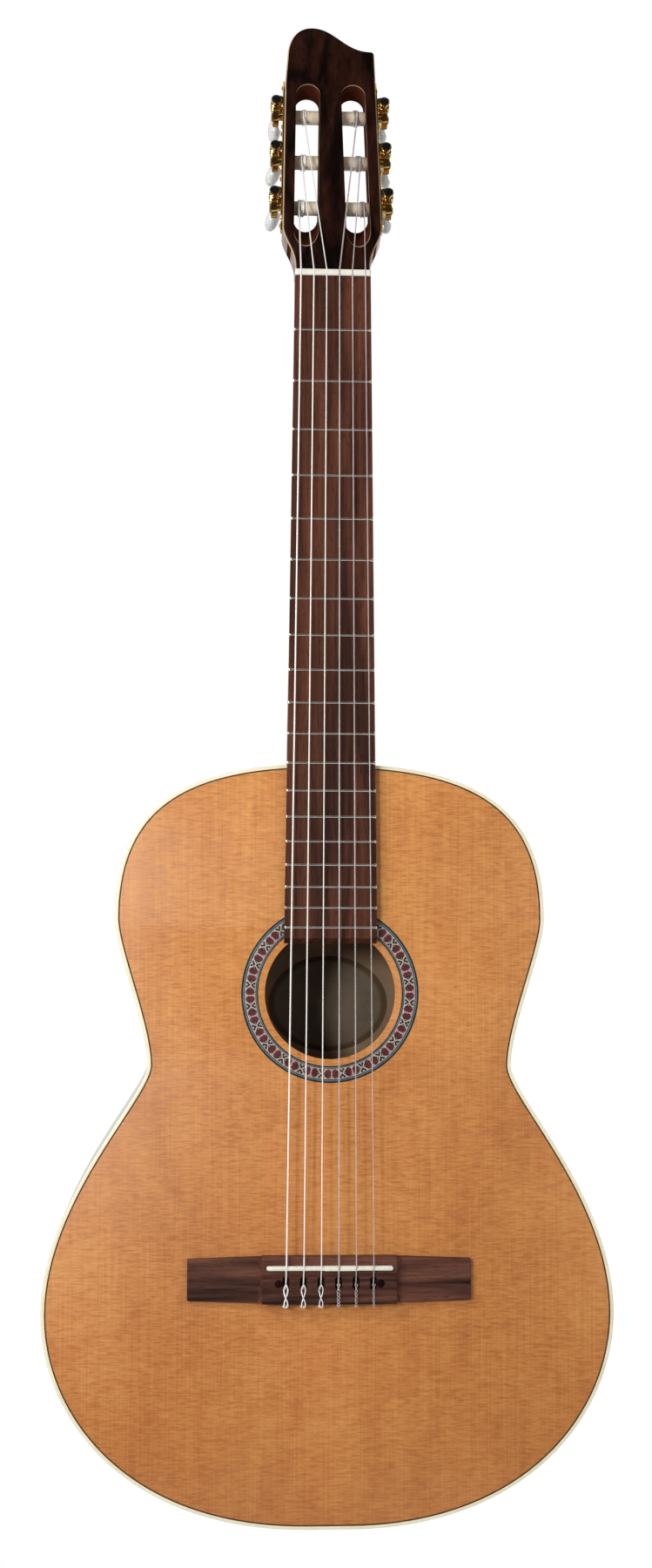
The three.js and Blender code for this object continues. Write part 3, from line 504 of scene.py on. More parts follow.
def mahogany_look(name, dark, light, **more):
    look = Look(name, 0.42, **more)
    broad = look.noise((40, 40, 6), 3, 0.8)
    pores = look.noise((1400, 1400, 60), 2)
    base = look.ramp(broad, (0.3, dark), (0.7, light))
    pits = look.ramp(pores, (0.36, (0.45, 0.4, 0.36)), (0.46, (1, 1, 1)))
    colour = look.mix(0.8, base, pits, "MULTIPLY")
    return look.paint(colour).rough(broad, 0.34, 0.46).bump(pores, 0.04, 0.4).material


def spruce_look():
    look = Look("spruce", 0.7)
    grain = look.noise((900, 60, 12), 3)
    colour = look.ramp(grain, (0.3, (0.50, 0.34, 0.17)), (0.7, (0.68, 0.51, 0.29)))
    return look.paint(colour).rough(grain, 0.6, 0.75).bump(grain, 0.03, 0.4).material


def plain_look(name, dark, light, roughness, scale=120, coat=0.0, relief=0.01, **more):
    """A smooth material with only soft clouds in its colour and finish."""
    look = Look(name, roughness, coat=coat, **more)
    clouds = look.noise((scale, scale, scale), 3, 0.4)
    colour = look.ramp(clouds, (0.3, dark), (0.7, light))
    look.paint(colour).rough(clouds, roughness * 0.8, roughness * 1.25)
    return look.bump(clouds, relief, 0.3).material


def metal_look(name, dark, light, roughness):
    return plain_look(name, dark, light, roughness, 260, metallic=1.0, relief=0.004)


def pearl_look():
    look = Look("pearloid", 0.16, coat=0.6)
    swirl = look.noise((190, 190, 190), 3, 2.2)
    colour = look.ramp(swirl, (0.30, (0.52, 0.54, 0.55)), (0.47, (0.68, 0.69, 0.69)),
                       (0.62, (0.78, 0.78, 0.76)))
    return look.paint(colour).rough(swirl, 0.12, 0.22).bump(swirl, 0.01, 0.2).material


def roller_look():
    """Bone, darker towards the roller's outer end."""
    look = Look("roller_bone", 0.42, coat=0.15)
    x = look.node("SeparateXYZ", {0: look.place((1000, 1000, 1000))}).outputs["X"]
    out = look.node("Math", {0: x}, operation="ABSOLUTE").outputs[0]
    stain = look.noise((170, 90, 90), 4, 1.0)
    base = look.ramp(stain, (0.3, (0.56, 0.45, 0.31)), (0.5, (0.70, 0.58, 0.44)),
                     (0.7, (0.79, 0.69, 0.55)))
    # Darker towards the roller's outer end.
    outer_darkening = look.ramp(look.limits(out, 17, 24, 0, 1), (0.0, (1, 1, 1)), (1.0, (0.50, 0.45, 0.42)))
    colour = look.mix(1.0, base, outer_darkening, "MULTIPLY")
    return look.paint(colour).rough(stain, 0.32, 0.5).bump(stain, 0.03, 0.4).material


def wound_look():
    """Silvered wire wound closely round the string, with painted shade in the grooves between its turns."""
    look = Look("wound_wire", 0.34, metallic=0.2)
    wire = look.bands((0, 0, 800), 0, 0, axis="Z")
    # Darker in the bands' troughs: painted shade in the grooves between the wire's turns.
    colour = look.ramp(wire, (0.0, (0.80, 0.78, 0.72)), (0.6, (1.0, 0.98, 0.93)))
    return look.paint(colour).rough(wire, 0.26, 0.36).bump(wire, 0.05, 0.5).material


def nylon_look():
    look = Look("clear_nylon", 0.22, Transmission_Weight=0.5, IOR=1.53)
    shade = look.noise((30, 30, 30), 2)
    colour = look.ramp(shade, (0.3, (0.66, 0.59, 0.59)), (0.7, (0.80, 0.73, 0.73)))
    return look.paint(colour).rough(shade, 0.18, 0.28).material


LOOKS = {
    "cedar": cedar_look(),
    "body": rosewood_look("body_rosewood", (0.030, 0.011, 0.008), (0.095, 0.034, 0.020), 120, 0.28,
                          mirrored=True, coat=0.7),
    "board": rosewood_look("board_rosewood", (0.038, 0.012, 0.0065), (0.110, 0.035, 0.018), 260, 0.5,
                           Specular_IOR_Level=DULL),
    "bridge": rosewood_look("bridge_rosewood", (0.016, 0.006, 0.004), (0.140, 0.054, 0.036), 300, 0.45,
                            along="X", Specular_IOR_Level=DULL),
    "veneer": rosewood_look("head_rosewood", (0.004, 0.0012, 0.0008), (0.027, 0.0078, 0.0042), 260, 0.42,
                            Specular_IOR_Level=DULL / 2),
    "mahogany": mahogany_look("mahogany", (0.095, 0.029, 0.013), (0.17, 0.057, 0.026), coat=0.35),
    # A darker copy of the mahogany for the faces inside the head's slots: painted shade.
    "slot": mahogany_look("slot_shade_mahogany", (0.050, 0.012, 0.006), (0.100, 0.027, 0.013),
                          Specular_IOR_Level=0),
    "spruce": spruce_look(),
    "maple": plain_look("maple_line", (0.52, 0.34, 0.18), (0.66, 0.46, 0.27), 0.4, 60),
    "cream": plain_look("cream_binding", (0.80, 0.73, 0.50), (0.90, 0.84, 0.62), 0.3, 40, 0.4),
    "bone": plain_look("bone", (0.74, 0.71, 0.60), (0.83, 0.80, 0.71), 0.3, 150, 0.2),
    "roller": roller_look(),
    "black": plain_look("black_dye", (0.010, 0.008, 0.008), (0.020, 0.016, 0.015), 0.35, 200, 0.3),
    # Glossy black for the worm's polished end: a painted dark reflection.
    "onyx": plain_look("painted_dark_reflection", (0.004, 0.004, 0.004), (0.008, 0.007, 0.006), 0.1, 200, 1.0),
    "purfling": plain_look("dark_purfling", (0.055, 0.026, 0.014), (0.10, 0.050, 0.028), 0.35, 200, 0.3),
    "maroon": plain_look("maroon_wood", (0.075, 0.008, 0.011), (0.12, 0.013, 0.018), 0.4, 700, 0.1),
    "rose": plain_look("rose_wood", (0.28, 0.13, 0.12), (0.42, 0.26, 0.23), 0.4, 700, 0.1),
    "pale": plain_look("pale_wood", (0.44, 0.35, 0.29), (0.56, 0.46, 0.39), 0.4, 700, 0.1),
    "blue": plain_look("blue_wood", (0.065, 0.135, 0.165), (0.105, 0.20, 0.235), 0.35, 200, 0.3),
    "skin": plain_look("inner_face", (0.31, 0.195, 0.115), (0.41, 0.27, 0.165), 0.7, 60,
                       Specular_IOR_Level=DULL),
    "gold": metal_look("gold_plate", (0.52, 0.33, 0.10), (0.74, 0.51, 0.19), 0.14),
    "screw": metal_look("dark_gold", (0.20, 0.11, 0.04), (0.34, 0.20, 0.07), 0.3),
    "steel": metal_look("nickel_silver", (0.80, 0.78, 0.70), (0.90, 0.88, 0.82), 0.2),
    "pearl": pearl_look(),
    "nylon": nylon_look(),
    "wound": wound_look(),
    # Cream paper darkened to brown: partly the paper's own tone, partly painted shade of the body's inside.
    "paper": plain_look("shaded_label_paper", (0.19, 0.142, 0.094), (0.235, 0.177, 0.12), 0.7, 90,
                        Specular_IOR_Level=DULL),
    "ink": plain_look("label_border", (0.09, 0.045, 0.012), (0.13, 0.065, 0.02), 0.6, 90),
}


# ---------- the body's outline ----------

def outline(inset=0.0, fine=4):
    """The outline from the tail, up the treble side and down the bass side, moved inwards."""
    def above(point, distance):
        return point[0], point[1] + distance

    stretches = [
        ((TAIL_FLAT, 0), (TAIL_HANDLES[0], 0), above(LOWER_BOUT, -TAIL_HANDLES[1]), LOWER_BOUT, 11),
        (LOWER_BOUT, above(LOWER_BOUT, LOWER_HANDLES[0]), above(WAIST, -LOWER_HANDLES[1]), WAIST, 8),
        (WAIST, above(WAIST, UPPER_HANDLES[0]), above(UPPER_BOUT, -UPPER_HANDLES[1]), UPPER_BOUT, 6),
        (UPPER_BOUT, above(UPPER_BOUT, NECK_HANDLES[0]), (NECK_HANDLES[1], BODY_LENGTH),
         (0, BODY_LENGTH), 10),
    ]
    half = [Vector((0, 0)), Vector((GRAFT_HALF, 0))]
    for a, b, c, d, steps in stretches:
        half += bezier(a, b, c, d, steps * fine)
    half.append(Vector((0, BODY_LENGTH)))
    whole = half + [Vector((-p.x, p.y)) for p in reversed(half[1:-1])]
    return offset_loop(whole, inset)


def back_y(z):
    """Where the back's outer face is, at a height."""
    return TAIL_BACK_Y - z * math.tan(BACK_SLOPE)


def band(profile, from_back=False):
    """A strip round the whole outline. The profile's points are (inset, depth from the face)."""
    loops = [outline(inset) for inset, _ in profile]
    rings = []
    for station in zip(*loops):
        ring = []
        for point, (_, depth) in zip(station, profile):
            y = back_y(point.y) - depth if from_back else FRONT_Y + depth
            ring.append(Vector((point.x, y, point.y)))
        rings.append(ring)
    return loft(rings, closed=True)


def behind(shape):
    """A shape drawn against y = 0, moved onto the sloping back."""
    return warped(shape, lambda p: Vector((p.x, p.y + back_y(p.z), p.z)))


# ---------- soundboard, rosette, bindings, back, ribs ----------

def make_soundboard():
    loops = [outline(PLATE_INSET), circle(HOLE_RADIUS, 144, (0, HOLE_Z))]
    top = slab(loops, FRONT_Y, FRONT_Y + TOP_THICK, 0.25, 0.1)
    piece("cedar_top", top, "cedar", stands_for=["soundboard"])


PROUD = 0.03                 # how far inlaid lines stand above the wood, in millimetres


def ring_shape(inner, outer, count=192):
    loops = [circle(outer, count, (0, HOLE_Z)), circle(inner, count, (0, HOLE_Z))]
    return slab(loops, FRONT_Y - PROUD, FRONT_Y + 1)


# A quarter of the mosaic's figure, from its edge to its middle row and from the flower's middle to
# the cross between two blocks: k black, c pale, r rose, m maroon.
MOSAIC_ROWS = (
    "rkkkccrrmmmrcr",
    "ckkkcckmmmmrkc",
    "kkkcckkmmmmmkc",
    "kkcckkmmmmmmmr",
    "kcckkkmmmmmmmr",
    "cckkckkmmmmmkc",
)
MOSAIC_REPEATS = 24
MOSAIC_TURN = math.radians(1.4)
MOSAIC_COLOURS = {"k": "black", "c": "pale", "r": "rose", "m": "maroon"}
ROSETTE_LIP = 4.5            # cedar between the soundhole and the rosette
OUTER_LINES = (("black", 1.1), ("blue", 0.8), ("black", 0.5), ("pale", 0.4))
INNER_LINES = (("black", 0.8), ("blue", 0.6), ("black", 0.4), ("pale", 0.35))


def make_mosaic(inner, outer):
    """The band of small wooden tiles, one quad for each stick of the pattern."""
    rows = [row[::-1] + row for row in MOSAIC_ROWS + MOSAIC_ROWS[-2::-1]]
    columns = MOSAIC_REPEATS * len(rows[0])
    points, faces, colours = [], [], []
    for r in range(len(rows) + 1):
        radius = outer + (inner - outer) * r / len(rows)
        for c in range(columns):
            turn = MOSAIC_TURN + 2 * math.pi * c / columns
            x, z = radius * math.cos(turn), HOLE_Z + radius * math.sin(turn)
            points.append(Vector((x, FRONT_Y - PROUD, z)))
    for r, row in enumerate(rows):
        for c in range(columns):
            a, b = r * columns + c, r * columns + (c + 1) % columns
            faces.append([a, b, b + columns, a + columns])
            colours.append(row[c % len(row)])
    mesh = bpy.data.meshes.new("rosette_mosaic")
    mesh.from_pydata([p * MM for p in points], [], faces)
    obj = piece("rosette_mosaic", mesh, list(MOSAIC_COLOURS.values()))
    names = list(MOSAIC_COLOURS)
    for face, letter in zip(mesh.polygons, colours):
        face.material_index = names.index(letter)
    thickness = obj.modifiers.new("thickness", "SOLIDIFY")
    thickness.thickness = 0.8 * MM
    thickness.offset = -1


def make_rosette():
    """Border lines inwards from the outer edge and outwards from the inner one, then the mosaic."""
    outer = ROSETTE_OUT
    for i, (look, wide) in enumerate(OUTER_LINES, 1):
        piece(f"rosette_outer_line_{i}", ring_shape(outer - wide, outer), look)
        outer -= wide
    inner = HOLE_RADIUS + ROSETTE_LIP
    for i, (look, wide) in enumerate(INNER_LINES, 1):
        piece(f"rosette_inner_line_{i}", ring_shape(inner, inner + wide), look,
              stands_for=["rosette"] if i == 1 else ())
        inner += wide
    make_mosaic(inner, outer)


def make_bindings():
    wide, deep = BINDING_WIDE, BINDING_DEEP
    edge = [(0, deep), (0, 0.8), (0.1, 0.4), (0.4, 0.1), (0.8, 0), (wide, 0), (wide, deep)]
    piece("cream_edge_front", band(edge), "cream", stands_for=["binding_front"])
    piece("cream_edge_back", band(edge, True), "cream", stands_for=["binding_back"])
    line = [(wide, 2), (wide, 0), (PLATE_INSET, 0), (PLATE_INSET, 2)]
    piece("purfling_front", band(line), "purfling")
    piece("purfling_back", band(line, True), "cream")


def make_back():
    for side, name in SIDES:
        half = [p for p in outline(PLATE_INSET) if p.x * side > SEAM_HALF]
        ends = [Vector((side * SEAM_HALF, end(p.y for p in half))) for end in (max, min)]
        shape = behind(slab([half + ends[::side]], -BACK_THICK, 0))
        piece(f"back_half_{name}", shape, "body", stands_for=["back_plate"] if side > 0 else ())
    strip = box((-SEAM_HALF, -BACK_THICK, PLATE_INSET), (SEAM_HALF, 0, BODY_LENGTH - PLATE_INSET))
    piece("back_seam", behind(strip), "cream")
    piece("back_inner_skin", behind(slab([outline(8)], SKIN_FACE, SKIN_FACE + 0.3)), "skin")
    for name, z_low, z_high in (("lower", 22, 297), ("upper", 380, 462)):
        strip = box((-9, SKIN_FACE - 1.5, z_low), (9, SKIN_FACE, z_high))
        piece(f"back_strip_{name}", behind(strip), "spruce")


def make_ribs():
    outer, inner = outline(), outline(RIB_THICK)
    count = len(outer)
    middle = count // 2
    for name, span in (("treble", range(1, middle + 1)), ("bass", range(middle, count))):
        rings = []
        for i in span:
            front, back = FRONT_Y + BINDING_DEEP, back_y(outer[i].y) - BINDING_DEEP
            section = [(outer[i], front), (outer[i], back), (inner[i], back), (inner[i], front)]
            rings.append([Vector((p.x, y, p.y)) for p, y in section])
        piece(f"side_{name}", loft(rings), "body", stands_for=[f"rib_{name}"])
    make_tail()


def make_tail():
    """The wedge let in where the ribs meet at the tail, with a light line on each side."""
    def inlay(low_x, high_x, proud):
        return box((low_x, FRONT_Y + BINDING_DEEP, -proud), (high_x, TAIL_BACK_Y - BINDING_DEEP, RIB_THICK))

    half = GRAFT_HALF - 1
    piece("tail_wedge", inlay(-half, half, 0.01), "body", stands_for=["tail_graft"])
    piece("tail_line_bass", inlay(-GRAFT_HALF, -half, 0.02), "cream")
    piece("tail_line_treble", inlay(half, GRAFT_HALF, 0.02), "cream")


def make_label():
    """A blank oval paper label on the inside of the back, with a printed border; its paper colour carries
    painted shade.
    """
    def oval(radius):
        return circle(radius, 96, LABEL_CENTRE, LABEL_SQUASH)

    half = LABEL_HALF
    piece("shaded_label_paper", behind(slab([oval(half + 0.4)], SKIN_FACE - 0.12, SKIN_FACE)), "paper")
    lines = (("label_border", half, half - 3.6, 0.17), ("label_line", half - 4.2, half - 4.6, 0.19))
    for name, outer, inner, proud in lines:
        loops = [oval(outer), oval(inner)]
        piece(name, behind(slab(loops, SKIN_FACE - proud, SKIN_FACE)), "ink")


# ---------- neck and fingerboard ----------

def board_half(z):
    """Half the width of the fingerboard at a height."""
    return NUT_HALF + (BOARD_END_HALF - NUT_HALF) * (NUT_Z - z) / (NUT_Z - BOARD_FOOT_Z)


HEEL_TOP_Z = 572
HEEL_STEEP_Z = 514
HEEL_DEEP = 100
HEEL_CAP_THICK = 2.4
SHAFT_DEEP = 17.5
SHAFT_DEEP_NUT = 15.2
NECK_SQUARE = 26             # length over which the shaft turns square below the nut


def heel_reach(deep):
    """How far the heel stands out from the body, at a depth behind the fingerboard."""
    share = 1 - (deep - SHAFT_DEEP) / (HEEL_DEEP - SHAFT_DEEP)
    share = min(1, max(0, share))
    return HEEL_TOP_Z - (HEEL_TOP_Z - HEEL_STEEP_Z) * math.sqrt(1 - share * share) - BODY_LENGTH


def heel_half(deep, z):
    """Half the width of the heel at a depth and a height."""
    reach = heel_reach(max(deep, SHAFT_DEEP))
    share = max(0, z - BODY_LENGTH) / reach
    if share >= 1:
        return 0
    wide = 11 + 18 * (1 - min(1, deep / 92)) ** 1.4
    return wide * (1 - share ** 2.2) ** 0.6


def neck_depth(z):
    """Depth of the neck behind the fingerboard's back, at a height."""
    shaft = SHAFT_DEEP + (SHAFT_DEEP_NUT - SHAFT_DEEP) * (z - HEEL_TOP_Z) / (NUT_Z - HEEL_TOP_Z)
    shaft = min(SHAFT_DEEP, shaft)
    if z >= HEEL_TOP_Z:
        return shaft
    deepest = back_y(BODY_LENGTH) - HEEL_CAP_THICK - FRONT_Y
    low_deep, high_deep = SHAFT_DEEP, deepest
    if heel_reach(deepest) > z - BODY_LENGTH:
        return deepest
    for _ in range(30):
        middle = (low_deep + high_deep) / 2
        if heel_reach(middle) > z - BODY_LENGTH:
            low_deep = middle
        else:
            high_deep = middle
    return low_deep


def neck_section(z, sides=36):
    """A ring round the neck: a C-shaped shaft that grows into the heel's blade near the body."""
    depth = neck_depth(z)
    half = board_half(z)
    square = 2 + 4 * max(0, (z - (NUT_Z - NECK_SQUARE)) / NECK_SQUARE) ** 2
    shaft = min(depth, SHAFT_DEEP)
    right = []
    for i in range(sides // 2 + 1):
        turn = math.pi / 2 * i / (sides // 2)
        deep = depth * math.sin(turn)
        share = min(1, deep / shaft)
        c_shape = half * (1 - share ** square) ** (1 / square)
        blade = heel_half(deep, z) if z < HEEL_TOP_Z else 0
        mixed = (c_shape ** 4 + blade ** 4) ** 0.25
        right.append((min(mixed, half), FRONT_Y + deep))
    if depth < HEEL_DEEP * 0.7:
        right[-1] = (0, right[-1][1])
    left = [(-x, y) for x, y in reversed(right)]
    return [Vector((x, y, z)) for x, y in right + left]


def make_neck():
    heights = [NUT_Z + 2, NUT_Z]
    heights += [NUT_Z - NECK_SQUARE * i / 8 for i in range(1, 9)]
    heights += [700, 620, HEEL_TOP_Z + 2]
    curve = [math.sin(math.pi / 2 * i / 24) for i in range(25)]
    heights += [HEEL_TOP_Z - (HEEL_TOP_Z - HEEL_STEEP_Z) * rise for rise in curve]
    heights += [510, 505, 500, 495]
    shape = loft([neck_section(z) for z in heights])
    piece("neck_and_heel", shape, "mahogany", stands_for=["neck"], sharp=50)
    cap_y = back_y(BODY_LENGTH) - HEEL_CAP_THICK
    tip = heel_reach(cap_y - FRONT_Y)
    loop = []
    for rise in curve:
        z = BODY_LENGTH - 1 + (tip + 1) * rise
        loop.append((heel_half(cap_y - FRONT_Y, z), z))
    loop += [(-x, z) for x, z in reversed(loop[:-1])]
    piece("heel_cap", slab([loop], cap_y, back_y(BODY_LENGTH), 0, 0.5), "body")


def fret_z(number):
    return NUT_Z - SCALE_LENGTH * (1 - 2 ** (-number / 12))


def fret_shape(number):
    """A fret's crown across the board, with a small round knob where each end is filed."""
    z, half = fret_z(number), board_half(fret_z(number)) + 0.25
    base = BOARD_FRONT_Y + 0.2
    ends = [(0, 0.25), (0.2, 0.8), (0.6, 1.12), (1.1, 1.12), (1.7, 0.85), (2.4, 0.72)]
    stations = [(-half + along, size) for along, size in ends]
    stations += [(half - along, size) for along, size in reversed(ends)]
    rings = []
    for x, size in stations:
        ring = [Vector((x, base, z - size)), Vector((x, base, z + size))]
        for i in range(13):
            turn = math.pi * i / 12
            y = BOARD_FRONT_Y - min(size, 1) * math.sin(turn)
            ring.append(Vector((x, y, z + size * math.cos(turn))))
        rings.append(ring)
    return loft(rings)


def make_fingerboard():
    heights = ((BOARD_END_Z, BOARD_FOOT_Z), (BOARD_END_Z + 0.4, BOARD_FOOT_Z + 0.6), (NUT_Z, NUT_Z))
    rings = []
    for front_z, back_z in heights:
        front, back = board_half(front_z), board_half(back_z)
        rings.append([Vector(p) for p in (
            (-front, BOARD_FRONT_Y + 0.3, front_z), (-front + 0.3, BOARD_FRONT_Y, front_z),
            (front - 0.3, BOARD_FRONT_Y, front_z), (front, BOARD_FRONT_Y + 0.3, front_z),
            (back, FRONT_Y, back_z), (-back, FRONT_Y, back_z))])
    piece("rosewood_board", loft(rings), "board", stands_for=["fingerboard"])
    for number in range(1, FRETS + 1):
        piece(f"fret_{number}", fret_shape(number), "steel")


# ---------- strings' places ----------

def string_x(number, share):
    """Where a string is across the neck: share 0 at the saddle, 1 at the nut."""
    place = (3.5 - number) / 5
    return place * (STRING_SPREAD_SADDLE + (STRING_SPREAD_NUT - STRING_SPREAD_SADDLE) * share)


def tuner_of(number):
    """Side of the head, height on the head and place along the roller for a string."""
    side = 1 if number <= 3 else -1
    step = number - 1 if number <= 3 else 6 - number
    return side, ROLLER_FIRST + step * ROLLER_PITCH, WINDING_X[step]


def side_at(v):
    return SIDE_FOOT[0] + (SIDE_TOP[0] - SIDE_FOOT[0]) * (v - SIDE_FOOT[1]) / (SIDE_TOP[1] - SIDE_FOOT[1])


# ---------- nut, saddle and bridge ----------

def grooved_bar(half, z_low, z_high, base_y, top_y, grooves, crown, shift=lambda x: 0.0):
    """A bone bar along X with a rounded top edge, notched where the strings cross it."""
    stations = {-half, half, -half + 0.5, half - 0.5}
    stations |= {x + radius * share for x, radius in grooves for share in (-1, -0.5, 0, 0.5, 1)}
    stations |= {half * (i / 12 - 1) for i in range(1, 24)}
    middle, wide = (z_low + z_high) / 2, (z_high - z_low) / 2
    rings = []
    for x in sorted(stations):
        top = top_y
        for groove, radius in grooves:
            if abs(x - groove) < radius * 1.01:
                top = top_y + 0.85 * math.sqrt(max(0, radius * radius - (x - groove) ** 2))
        edge = 0.5 if abs(x) > half - 0.2 else 0
        ring = [Vector((x, base_y, z_low)), Vector((x, base_y, z_high))]
        for i in range(9):
            turn = math.pi * i / 8
            y = top + crown * (1 - math.sin(turn)) + edge
            ring.append(Vector((x, y, middle + shift(x) * math.sin(turn) + wide * math.cos(turn))))
        rings.append(ring)
    return loft(rings)


def make_nut():
    grooves = [(string_x(n, 1), STRING_DIAMETERS[n - 1] * 0.62) for n in range(1, 7)]
    shape = grooved_bar(NUT_HALF, NUT_Z, NUT_BACK_Z, FRONT_Y, STRING_Y_NUT - 0.1, grooves, 0.5)
    piece("bone_nut", shape, "bone", stands_for=["nut"], sharp=50)


def make_saddle():
    """A straight bar whose crest steps back under the third string, with a round end on each side."""
    third = string_x(3, 0)

    def shift(x):
        return -0.7 if abs(x - third) < 11 else 0.2

    half, thick = SADDLE_HALF - 1.6, SADDLE_THICK / 2
    shape = grooved_bar(half, SADDLE_Z - thick, SADDLE_Z + thick, FRONT_Y - 3, STRING_Y_SADDLE + 0.4,
                        [], 0.9, shift)
    end = lathe([(0, -8), (thick, -8), (thick, 0.9), (1.1, 1.5), (0, 1.7)], 24)
    places = [at(side * half, STRING_Y_SADDLE + 2.2, SADDLE_Z) @ turned(-QUARTER, "Z") for side in (-1, 1)]
    ends = [moved(end, place) for place in places]
    piece("bone_saddle", joined(shape, *ends), "bone", stands_for=["saddle"], sharp=50)


DISH_X = 33.4                # the two small dishes beside the string holes
DISH_Z = SADDLE_Z - 10.2
BLOCK_HALF = 44


def bridge_wings():
    """The bridge's low outline, with eased corners, as thick as its wings."""
    half, corner, rim = BRIDGE_HALF, 0.8, BRIDGE_TOP_Z - 2
    upper = [(half, rim - corner), (half - corner * 0.3, rim - corner * 0.3), (half - corner, rim),
             (BLOCK_HALF, BRIDGE_TOP_Z - 0.4)]
    lower = [(x, BRIDGE_TOP_Z + BRIDGE_FOOT_Z - z) for x, z in upper]
    loop = upper + [(-x, z) for x, z in reversed(upper)] + [(-x, z) for x, z in lower] + lower[::-1]
    return slab([loop], FRONT_Y - 3.8, FRONT_Y, 0.9, 0, 5)


def bridge_block():
    """The raised tie block, its foot slightly bowed, and the cove at each of its ends."""
    bow = [(BLOCK_HALF * (1 - i / 6), BRIDGE_FOOT_Z + 0.4 * (1 - i / 6) ** 4) for i in range(13)]
    loop = [(-BLOCK_HALF, BRIDGE_TOP_Z), (BLOCK_HALF, BRIDGE_TOP_Z)] + bow
    shapes = [slab([loop], BLOCK_FRONT_Y, FRONT_Y - 0.01, 0.5, 0, 4)]
    cove = [(3, 3.6), (2.2, 4.6), (0.8, 6.4), (0, 7.4), (-1, 7.4), (-1, 2)]
    for side in (-1, 1):
        ends = [[Vector((side * (BLOCK_HALF + out), FRONT_Y - high, z)) for out, high in cove]
                for z in (BRIDGE_FOOT_Z + 0.9, BRIDGE_TOP_Z - 0.9)]
        shapes.append(loft(ends))
    return shapes


def bridge_cutters():
    """The saddle's slot, a slot and a bore for each string's tie, and the two dishes."""
    slot = stadium(SADDLE_THICK / 2 + 0.08, -SADDLE_HALF - 0.1, SADDLE_HALF + 0.1)
    shapes = [moved(slab([slot], FAR_FRONT, FRONT_Y - 3.2), at(0, 0, SADDLE_Z) @ turned(QUARTER, "Y"))]
    hole = slab([stadium(2.3, SADDLE_Z - 14.4, SADDLE_Z - 5.4)], FAR_FRONT, FRONT_Y - 0.6)
    bore = lathe([(0, -20), (0.9, -20), (0.9, 0), (0, 0)], 16)
    for number in range(1, 7):
        x = string_x(number, TIE_SHARE)
        shapes.append(moved(hole, at(x)))
        shapes.append(moved(bore, at(x, FRONT_Y - 5, SADDLE_Z - 30) @ turned(-QUARTER, "Y")))
    dish = lathe([(0, -0.5), (2.6, -0.5), (2.9, 3), (0, 3)], 32)
    for side in (-1, 1):
        shapes.append(moved(dish, at(side * DISH_X, BLOCK_FRONT_Y, DISH_Z) @ turned(-QUARTER, "Z")))
    return shapes


def make_bridge():
    """Two low wings and a raised block, with the saddle's slot and a hole for each string's tie."""
    piece("rosewood_bridge", bridge_wings(), "bridge", stands_for=["bridge"], adds=bridge_block(),
          cuts=bridge_cutters())
    plug = lathe([(0, 0), (2.55, 0), (2.55, 0.5), (2.0, 0.62), (0, 0.7)], 32)
    for side, name in SIDES:
        place = at(side * DISH_X, BLOCK_FRONT_Y + 0.75, DISH_Z) @ turned(-QUARTER, "Z")
        piece(f"bridge_plug_{name}", moved(plug, place), "veneer")


# ---------- head ----------

CREST = (-12.4, 186.3)
CORNER = (30.4, 165.7)
BASS_TOP = (-29.2, 166)


def head_outline():
    """The head's outline in its own frame, from the neck up the treble side and down the bass side."""
    foot, neck_half = -12, NUT_HALF - 0.1
    (side_x, side_z), (x, z) = SIDE_FOOT, CORNER
    loop = [Vector((-neck_half, foot)), Vector((neck_half, foot))]
    loop += bezier((neck_half, 4), (neck_half + 1, 16), (side_x - 1, 22), SIDE_FOOT, 14)
    loop += [Vector(SIDE_FOOT), Vector(SIDE_TOP)]
    loop += bezier((x + 0.1, z), (x, z + 1.6), (x - 0.8, z + 2.6), (x - 2.6, z + 2.6), 6)
    loop += bezier((x - 2.6, z + 2.6), (10, z + 2.7), (4, CREST[1]), CREST, 24)
    loop += bezier(CREST, (-22, CREST[1]), (-28, 178), BASS_TOP, 14)
    loop += [Vector(BASS_TOP), Vector((-SIDE_TOP[0], SIDE_TOP[1])), Vector((-side_x, side_z))]
    loop += bezier((-side_x, side_z), (1 - side_x, 22), (-neck_half - 1, 16), (-neck_half, 4), 14)[1:]
    return loop + [Vector((-neck_half, 4))]


def slot_cutters():
    """For each side, the slot through the head and the round ramp at its foot."""
    through = slab([stadium(SLOT_HALF, SLOT_FOOT_BACK - SLOT_TOP, 0, 24)], -3, HEAD_THICK + 3)
    rising = slab([stadium(SLOT_HALF, 0, 50, 24)], -35, 35)
    slope = math.atan2(SLOT_FOOT_BACK - SLOT_FOOT, HEAD_THICK)
    ramp = at(0, 0, SLOT_FOOT - SLOT_TOP) @ turned(slope, "X")
    shapes = []
    for side, _ in SIDES:
        place = HEAD @ at(side * SLOT_MIDDLE, 0, SLOT_TOP) @ turned(-SIDE_LEAN * side, "Y")
        shapes += [moved(through, place), moved(rising, place @ ramp)]
    return shapes


def shade_slots(core):
    """A darker, dull copy of the mahogany for the faces of the head's core inside its two slots: painted
    shade in the slots.
    """
    core.data.materials.append(LOOKS["slot"])
    back = HEAD.inverted()
    for face in core.data.polygons:
        place = back @ (face.center / MM)
        upright = abs((back.to_3x3() @ face.normal).y) < 0.95
        inside = abs(place.x) < side_at(place.z) - 4 and SLOT_FOOT - 2 < place.z < SLOT_TOP + 10
        if upright and inside:
            face.material_index = 1


